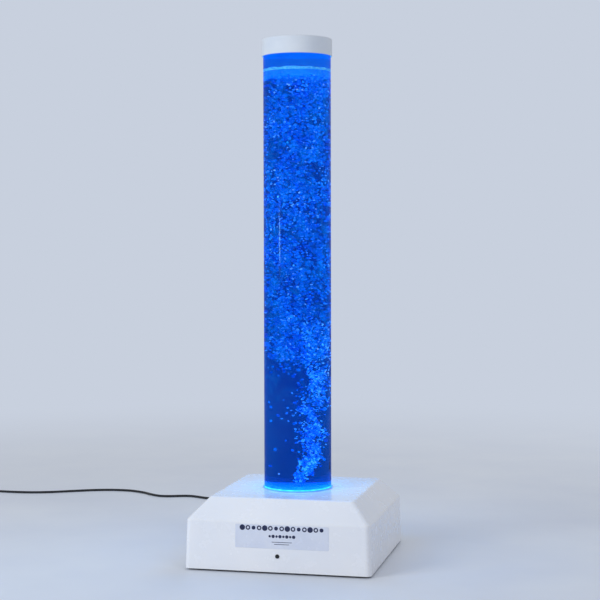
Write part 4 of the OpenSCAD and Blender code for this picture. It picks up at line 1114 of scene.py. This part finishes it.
# sizes are radii; a shape is the stretch across, in depth and upwards; bright, middle and dim are lit and
# shaded copies of one bubble, their colours and glows painted lamp light
bubbleLooks = {
    "bright": {"colour": (0.35, 0.70, 1.0, 1), "second": (0.45, 0.80, 1.0, 1), "size": (0.0011, 0.0025),
               "shape": (1.25, 1.05, 0.68), "uneven": 0.4, "tilt": 62,
               "glow": (0.24, 0.74, 1.30, 1), "glowSecond": (0.70, 1.12, 1.45, 1), "strength": (0.8, 1.6)},
    "middle": {"colour": (0.03, 0.26, 0.80, 1), "second": (0.08, 0.40, 0.95, 1), "size": (0.0017, 0.0037),
               "shape": (1.05, 0.94, 0.78), "uneven": 0.3, "tilt": 70,
               "glow": (0.0, 0.29, 0.88, 1), "glowSecond": (0.04, 0.53, 1.08, 1), "strength": (0.65, 1.4)},
    "dim": {"colour": (0.0, 0.12, 0.50, 1), "second": (0.01, 0.18, 0.65, 1), "size": (0.0024, 0.0053),
            "shape": (0.94, 0.88, 0.82), "uneven": 0.3, "tilt": 80,
            "glow": (0.0, 0.15, 0.58, 1), "glowSecond": (0.0, 0.26, 0.80, 1), "strength": (0.65, 1.3)},
}
bubbleLooks["large"] = dict(bubbleLooks["middle"], shape=(1.0, 1.0, 0.92), uneven=0.08, tilt=30)


def makeBubbles():
    rng = np.random.default_rng(bubbles["seed"])
    groups = {"bright": [], "middle": [], "dim": []}
    for x, y, z, where in scatterBubbles(rng):
        draw = rng.random()
        bright, middle = bubbles[where]
        groups["bright" if draw < bright else "middle" if draw < middle else "dim"].append((x, y, z))
    ball = ballShape(bubbles["fineness"])
    for kind, members in groups.items():
        look = bubbleLooks[kind]
        low, high = look["size"]
        sizes = low + (high - low) * rng.beta(*bubbles["sizeLean"], len(members))
        finish = bubbleFinish(kind + "Bubbles", look)
        bubbleCloud("bubbles" + kind.capitalize(), members, sizes, rng, ball, look, finish)
    large, look = largeBubbles(), bubbleLooks["large"]
    sizes = np.array([b[3] for b in large])
    ball = ballShape(bubbles["largeFineness"])
    cloud = bubbleCloud("bubblesLarge", large, sizes, rng, ball, look, bubbleFinish("largeBubbles", look))
    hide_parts("air_bubbles")


cap = {
    "outer": 0.078, "inner": 0.0755, "low": 1.112, "top": 1.150, "seat": 1.1461, "edge": 0.0022,
    "colour": srgb(214, 220, 230), "second": srgb(204, 212, 226), "rough": (0.3, 0.45),
    "glow": (0.0, 1.1, 2.0, 1), "glowStrength": 0.70,
    "glowWithin": (0.0757, 0.0760), "glowBelow": (1.1462, 1.1466),
}


# pale moulding, with the light of the lamps that shine up the bore on the inside
def capFinish():
    material, tree, place, shader = opaqueMaterial(
        "capMoulding", IOR=1.5, Emission_Strength=cap["glowStrength"])
    tint(tree, shader, "Base Color", patches(tree, place, 0.35, 0.65, 12, 4), cap["colour"], cap["second"])
    unevenGloss(tree, place, shader, 50, 4, cap["rough"])
    bumped(tree, shader, noiseAt(tree, place, 1500, 2), 0.00003, 0.4)
    inside = remapped(tree, axisDistance(tree, place), *cap["glowWithin"], 1, 0)
    below = remapped(tree, heightAt(tree, place), *cap["glowBelow"], 1, 0)
    tint(tree, shader, "Emission Color", product(tree, inside, below), (0, 0, 0, 1), cap["glow"])
    return material


def makeCap():
    outline = softOutline([
        (0, cap["seat"], 0), (cap["inner"], cap["seat"], 0.0012), (cap["inner"], cap["low"], 0.0006),
        (cap["outer"], cap["low"], 0.0008), (cap["outer"], cap["top"], cap["edge"]), (0, cap["top"], 0),
    ], 5, closed=False)
    piece = turned("tubeCap", outline, 128, closed=False, sharpAngle=50)
    dress(piece, capFinish(), "lid", ["top_cap"])


seal = {
    "inner": 0.07503, "hole": 0.0767, "lip": 0.003, "out": 0.0014, "height": 0.0026, "play": 0.0001,
    "colour": srgb(120, 178, 235), "second": srgb(96, 160, 228),
    "glow": (0.0, 0.16, 0.85, 1), "glowSecond": (0.0, 0.22, 1.0, 1), "glowStrength": 0.5,
    "milky": 0.25, "milkyReach": (0.001, 0.002, 0.004),
}


def sealFinish():
    material, tree, place, shader = opaqueMaterial(
        "litSealRubber", Roughness=0.35, Emission_Strength=seal["glowStrength"],
        Subsurface_Weight=seal["milky"], Subsurface_Radius=seal["milkyReach"])
    drift = patches(tree, place, 0.35, 0.65, 30, 4)
    tint(tree, shader, "Base Color", drift, seal["colour"], seal["second"])
    tint(tree, shader, "Emission Color", drift, seal["glow"], seal["glowSecond"])
    bumped(tree, shader, noiseAt(tree, place, 800, 2), 0.00004, 0.4)
    return material


def makeSeal():
    inner, hole = seal["inner"], seal["hole"]
    lip, out = hole + seal["lip"], hole + seal["out"]
    top, under = cover["top"] + seal["play"], cover["top"] - cover["wall"] - seal["play"]
    low, high = cover["top"] - cover["wall"] - seal["lip"], cover["top"] + seal["height"]
    outline = softOutline([
        (inner, low, 0.0004), (lip, low, 0.0008), (lip, under, 0.0004), (hole, under, 0),
        (hole, top, 0), (out, top, 0.0004), (out, high, 0.0011), (inner, high, 0.0004),
    ], 4)
    piece = turned("sealRing", outline, 128, sharpAngle=50)
    dress(piece, sealFinish(), "lamp", ["tube_seal_ring"])


disc = {
    "colour": (0.10, 0.45, 1.0, 1), "cells": 95, "rough": (0.15, 0.3),
    "glow": (0.0, 0.42, 1.2, 1), "glowSecond": (0.05, 0.75, 1.4, 1), "glowStrength": 1.5,
}


# the clear disc under the water, lit by the rings of lamps below it
def discFinish():
    material, tree, place, shader = opaqueMaterial(
        "litTubeFloor", IOR=1.49, Base_Color=disc["colour"], Emission_Strength=disc["glowStrength"])
    spread = remapped(tree, cellsAt(tree, place, disc["cells"]), 0.0, 0.7, 1, 0)
    tint(tree, shader, "Emission Color", spread, disc["glow"], disc["glowSecond"])
    tree.links.new(remapped(tree, spread, 0, 1, *disc["rough"]), shader.inputs["Roughness"])
    return material


fitting = {
    "nodes": ("air_nozzle", "nozzle_washer", "drain_fitting"), "rough": (0.3, 0.45),
    "colour": srgb(178, 184, 190), "second": srgb(164, 170, 178),
    "glow": (0.0, 0.34, 1.1, 1), "glowSecond": (0.0, 0.46, 1.3, 1),
}


# pale fittings that catch the light of the disc they stand in
def fittingFinish():
    material, tree, place, shader = opaqueMaterial("litFitting")
    drift = patches(tree, place, 0.35, 0.65, 120, 3)
    tint(tree, shader, "Base Color", drift, fitting["colour"], fitting["second"])
    tint(tree, shader, "Emission Color", drift, fitting["glow"], fitting["glowSecond"])
    unevenGloss(tree, place, shader, 300, 2, fitting["rough"])
    floor = tube["floorTop"]
    # painted glow of the disc's light, only on the parts standing in the water
    paintedGlowInWater = remapped(tree, heightAt(tree, place), floor - 0.0002, floor + 0.0002, 0, 1)
    tree.links.new(paintedGlowInWater, shader.inputs["Emission Strength"])
    return material


def makeTube():
    dress(nodes["acrylic_tube"], tubeFinish())
    dress(nodes["tube_flange"], flangeFinish())
    dress(nodes["tube_floor"], discFinish())
    for name in fitting["nodes"]:
        dress(nodes[name], fittingFinish())
    makeWater()
    makeFroth()
    makeBubbles()
    makeCap()
    makeSeal()


makeTube()
print("tube made")


# ---- finishes of the parts inside the base

finishes = {
    "steel_plate": plainLook((44, 47, 50), (54, 57, 60), (0.45, 0.6), grainScale=700, grainDepth=0.00008),
    "zinc_steel": plainLook((176, 178, 182), (150, 153, 160), (0.25, 0.42), metal=1.0, driftScale=60),
    "aluminium": plainLook((200, 202, 204), (184, 186, 190), (0.3, 0.45), metal=1.0, driftScale=30),
    "black_rubber": plainLook((26, 26, 28), (36, 36, 38), (0.6, 0.8), grainScale=900, grainDepth=0.0001),
    "board_white": plainLook((226, 227, 226), (214, 216, 214), (0.35, 0.5)),
    "board_green": plainLook((18, 92, 52), (26, 110, 60), (0.3, 0.42), driftScale=180),
    "pump_plastic": plainLook((38, 40, 44), (48, 50, 54), (0.45, 0.6), grainScale=1100, grainDepth=0.00008),
    "core_iron": plainLook((98, 98, 100), (76, 74, 74), (0.45, 0.65), metal=0.8, driftScale=80),
    "coil_wire": plainLook((168, 92, 48), (140, 70, 34), (0.25, 0.4), metal=0.9, driftScale=400),
    "hose_clear": plainLook((206, 214, 218), (192, 202, 208), (0.15, 0.28), milky=0.2),
    "fitting_grey": plainLook((168, 172, 176), (154, 158, 162), (0.35, 0.5)),
    "tap_brass": plainLook((188, 154, 92), (160, 126, 70), (0.22, 0.4), metal=1.0, driftScale=90),
    "lever_red": plainLook((176, 30, 24), (150, 22, 18), (0.3, 0.42), driftScale=50),
    "ivory_plastic": plainLook((216, 208, 186), (204, 196, 172), (0.4, 0.55)),
    "black_plastic": plainLook((20, 20, 23), (28, 28, 31), (0.3, 0.45)),
    "component_mix": plainLook((34, 34, 40), (54, 54, 62), (0.35, 0.5), driftScale=120),
    "wire_red": plainLook((150, 24, 22), (128, 18, 16), (0.4, 0.55)),
    "cord_black": plainLook((24, 24, 26), (34, 34, 38), (0.42, 0.6)),
}

ledLook = {
    "colour": (0.15, 0.45, 1.0, 1), "second": (0.3, 0.6, 1.0, 1),
    "glow": (0.05, 0.35, 1.0, 1), "glowSecond": (0.1, 0.5, 1.0, 1), "glowStrength": 3.0,
}


def ledFinish():
    material, tree, place, shader = opaqueMaterial(
        "ledLens", Roughness=0.2, Emission_Strength=ledLook["glowStrength"])
    share = patches(tree, place, 0.4, 0.6, 300, 2)
    tint(tree, shader, "Base Color", share, ledLook["colour"], ledLook["second"])
    tint(tree, shader, "Emission Color", share, ledLook["glow"], ledLook["glowSecond"])
    return material


# smooth hoses and leads stand for the plain ones: name, node, slot, radius, routes
leads = [
    ("airHose", "air_hose_lower", "hose_clear", 0.0045, [[
        (-0.058, -0.002, 0.040), (-0.050, -0.002, 0.040), (-0.036, -0.002, 0.040), (-0.020, -0.001, 0.041),
        (-0.008, 0, 0.046), (-0.002, 0, 0.055), (0, 0, 0.063), (0, 0, 0.070)]]),
    ("airHoseTop", "air_hose_upper", "hose_clear", 0.0045, [[
        (0, 0, 0.095), (0, 0, 0.099), (0, 0, 0.104), (0, 0, 0.108)]]),
    ("drainHose", "drain_hose", "hose_clear", 0.0045, [[
        (0.031, 0.055, 0.112), (0.031, 0.063, 0.112), (0.033, 0.076, 0.109), (0.042, 0.090, 0.098),
        (0.056, 0.100, 0.078), (0.072, 0.107, 0.054), (0.086, 0.114, 0.037), (0.094, 0.124, 0.031),
        (0.095, 0.132, 0.030), (0.095, 0.140, 0.030)]]),
    ("innerLead", "inner_lead", "cord_black", 0.003, [[
        (-0.060, 0.186, 0.024), (-0.060, 0.180, 0.024), (-0.060, 0.172, 0.022), (-0.060, 0.164, 0.018),
        (-0.060, 0.160, 0.016), (-0.060, 0.156, 0.016)]]),
    ("wiringLoom", "wiring_loom", "wire_red", 0.0019, [
        [(-0.045, 0.148, 0.016), (-0.034, 0.148, 0.016), (0, 0.132, 0.013), (0.028, 0.094, 0.012),
         (0.044, 0.044, 0.012), (0.052, 0, 0.015), (0.060, -0.020, 0.020), (0.072, -0.0275, 0.0231),
         (0.083, -0.0275, 0.0231)],
        [(-0.070, 0.024, 0.024), (-0.060, 0.024, 0.024), (-0.040, 0.020, 0.018), (-0.010, 0.006, 0.013),
         (0.024, -0.016, 0.013), (0.054, -0.034, 0.019), (0.072, -0.0405, 0.0231), (0.083, -0.0405, 0.0231)],
        [(0.019, 0, 0.126), (0.019, 0, 0.116), (0.022, -0.006, 0.096), (0.034, -0.024, 0.066),
         (0.050, -0.042, 0.040), (0.064, -0.0535, 0.027), (0.074, -0.0535, 0.0231),
         (0.083, -0.0535, 0.0231)]]),
]

coilSpring = {
    "turns": 5, "steps": 24, "radius": 0.0019, "wire": 0.0003, "from": -0.01065, "length": 0.0043,
    "still": -0.0109, "moved": -0.0061,
}


# the spring behind the button cap
def makeSpring(material):
    d = coilSpring
    place = frontPlace(button["x"], button["z"])
    count = d["turns"] * d["steps"]
    wire = []
    for step in range(count + 1):
        a = 2 * math.pi * step / d["steps"]
        rise = d["from"] + d["length"] * step / count
        wire.append(place @ Vector((d["radius"] * math.cos(a), d["radius"] * math.sin(a), rise)))
    spring = sweptTube("buttonSpring", wire, d["wire"], 8)
    dress(spring, material, None, ["button_spring"])
    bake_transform(spring)


folds = {
    "count": 4, "outer": 0.015, "outerTaper": 0.0021, "neck": 0.0105, "neckTaper": 0.001,
    "pitch": 0.0035, "crest": 0.0018, "dip": 0.0026, "end": (0.007, 0.0139), "place": (-0.112, -0.002, 0.040),
}


# the pump's bellows
def makeBellows(material):
    outline = [(0, 0, 0)]
    for i in range(folds["count"]):
        outer, neck = folds["outer"] - folds["outerTaper"] * i, folds["neck"] - folds["neckTaper"] * i
        low = folds["pitch"] * i
        outline += [(outer, low, 0.0008), (outer, low + folds["crest"], 0.0008)]
        outline += [(neck, low + folds["dip"], 0.0005)]
    wide, high = folds["end"]
    outline = outline[:-1] + [(wide, high, 0.0003), (0, high, 0)]
    bellows = turned("pumpBellows", softOutline(outline, 3, closed=False), 48, closed=False)
    bellows.data.transform(Matrix.Translation(folds["place"]) @ Matrix.Rotation(math.radians(-90), 4, "Y"))
    dress(bellows, material, None, ["pump_diaphragm"])
    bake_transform(bellows)


def makeInside():
    made = {slot: plainFinish(slot, look) for slot, look in finishes.items()}
    made["led_lens"] = ledFinish()
    slots = {part["node"]: part["material_slot"] for part in frame["record"]["subparts"]}
    for name, piece in nodes.items():
        if slots.get(name) in made and name not in fitting["nodes"]:
            dress(piece, made[slots[name]])
    for name, node, slot, radius, routes in leads:
        parts = [sweptTube(name, smoothRoute(route, 6), radius, 20) for route in routes]
        dress(joined(name, parts), made[slot], "lamp", [node])
    makeSpring(made["zinc_steel"])
    makeBellows(made["black_rubber"])


makeInside()
print("inside dressed")


# ---- floor, backdrop and lamps

studio = {
    "floorRings": (0.5, 1, 2, 4, 8, 16, 40), "floorSteps": 64, "fadeFrom": 0.9, "fadeTo": 3.2,
    "backdrop": srgb(200, 208, 222), "floorColour": srgb(218, 222, 231), "floorSecond": srgb(210, 215, 227),
    "ambient": 0.53, "ambientColour": (0.93, 0.96, 1.0, 1),
    # name, place, aim, size, power, colour
    "lamps": (
        ("keyLamp", (-2.6, -3.0, 1.9), (0, 0, 0.35), (1.6, 2.0), 72, (1, 0.97, 0.88)),
        ("fillLamp", (2.6, -2.4, 2.6), (0, 0, 0.5), (1.6, 1.6), 24, (0.9, 0.95, 1)),
        ("backLamp", (0.6, 3.0, 2.6), (0, 0, 0.6), (2.0, 1.2), 24, (0.9, 0.95, 1)),
    ),
    # a narrow lamp that makes the upright highlight on the tube
    "strip": ("stripLamp", (-1.169, -1.039, 0.712), (0, 0, 0.71), (0.045, 0.15), 3.3, (0.21, 0.58, 1.0)),
    # lamps round the tube that throw its light on the cover and the floor
    "glowPower": 2.6, "glowLamps": 12, "glowRadius": 0.0764, "glowSpan": (0.158, 0.600), "glowWidth": 0.034,
    "glowColour": (0.0, 0.42, 1.0),
}


# where the camera looks past or through the object at the floor or the sky
def seenDirectly(tree):
    rays = addNode(tree, "LightPath")
    return combined(tree, "MAXIMUM", rays.outputs["Is Camera Ray"], rays.outputs["Is Transmission Ray"])


def floorFinish():
    material, tree, out, place = blankMaterial("studioFloor")
    matt = addNode(tree, "BsdfPrincipled", Roughness=0.5)
    drift = patches(tree, place, 0.3, 0.7, 3, 3)
    tint(tree, matt, "Base Color", drift, studio["floorColour"], studio["floorSecond"])
    away = addNode(tree, "VectorMath", operation="LENGTH")
    tree.links.new(place, away.inputs[0])
    fade = addNode(tree, "MapRange", interpolation_type="SMOOTHSTEP",
                   From_Min=studio["fadeFrom"], From_Max=studio["fadeTo"])
    tree.links.new(away.outputs["Value"], fade.inputs["Value"])
    share = product(tree, fade.outputs["Result"], seenDirectly(tree))
    far = addNode(tree, "Emission", Color=studio["backdrop"])
    tree.links.new(mixedShader(tree, share, matt.outputs["BSDF"], far.outputs[0]), out.inputs["Surface"])
    return material


def makeFloor():
    rings, steps = studio["floorRings"], studio["floorSteps"]
    points, faces = [(0, 0, 0)], []
    for ring in rings:
        for step in range(steps):
            a = 2 * math.pi * step / steps
            points.append((ring * math.cos(a), ring * math.sin(a), 0))
    for step in range(steps):
        after = (step + 1) % steps
        faces.append((0, 1 + step, 1 + after))
        for i in range(len(rings) - 1):
            a, b = 1 + i * steps + step, 1 + i * steps + after
            faces.append((a, a + steps, b + steps, b))
    floor = meshPiece("studioFloor", points, faces)
    floor.location.z = -0.0002
    floor.data.materials.append(floorFinish())


def makeSky():
    world = bpy.data.worlds.new("studioWorld")
    bpy.context.scene.world = world
    world.use_nodes = True
    tree = world.node_tree
    tree.nodes.clear()
    out = addNode(tree, "OutputWorld")
    seen = addNode(tree, "Background", Color=studio["backdrop"])
    lit = addNode(tree, "Background", Color=studio["ambientColour"], Strength=studio["ambient"])
    mix = mixedShader(tree, seenDirectly(tree), lit.outputs[0], seen.outputs[0])
    tree.links.new(mix, out.inputs["Surface"])


def softLamp(name, place, aim, size, power, colour):
    lamp = bpy.data.lights.new(name, "AREA")
    lamp.shape = "RECTANGLE"
    lamp.size, lamp.size_y = size
    lamp.energy = power
    lamp.color = colour
    holder = bpy.data.objects.new(name, lamp)
    bpy.context.scene.collection.objects.link(holder)
    holder.location = place
    holder.rotation_mode = "QUATERNION"
    holder.rotation_quaternion = (Vector(aim) - Vector(place)).to_track_quat("-Z", "Y")
    holder.visible_camera = holder.visible_glossy = holder.visible_transmission = False
    return holder


def makeLamps():
    for lamp in studio["lamps"]:
        softLamp(*lamp)
    low, high = studio["glowSpan"]
    middle = Vector((0, 0, (low + high) / 2))
    size, power = (studio["glowWidth"], high - low), studio["glowPower"] / studio["glowLamps"]
    for i in range(studio["glowLamps"]):
        a = 2 * math.pi * i / studio["glowLamps"]
        out = Vector((math.cos(a), math.sin(a), 0))
        place = out * studio["glowRadius"] + middle
        softLamp("tubeGlow", place, out + middle, size, power, studio["glowColour"])
    softLamp(*studio["strip"]).visible_glossy = True


makeFloor()
makeSky()
makeLamps()
bpy.context.scene.view_settings.view_transform = "Standard"
print("studio made")

bpy.context.view_layer.update()
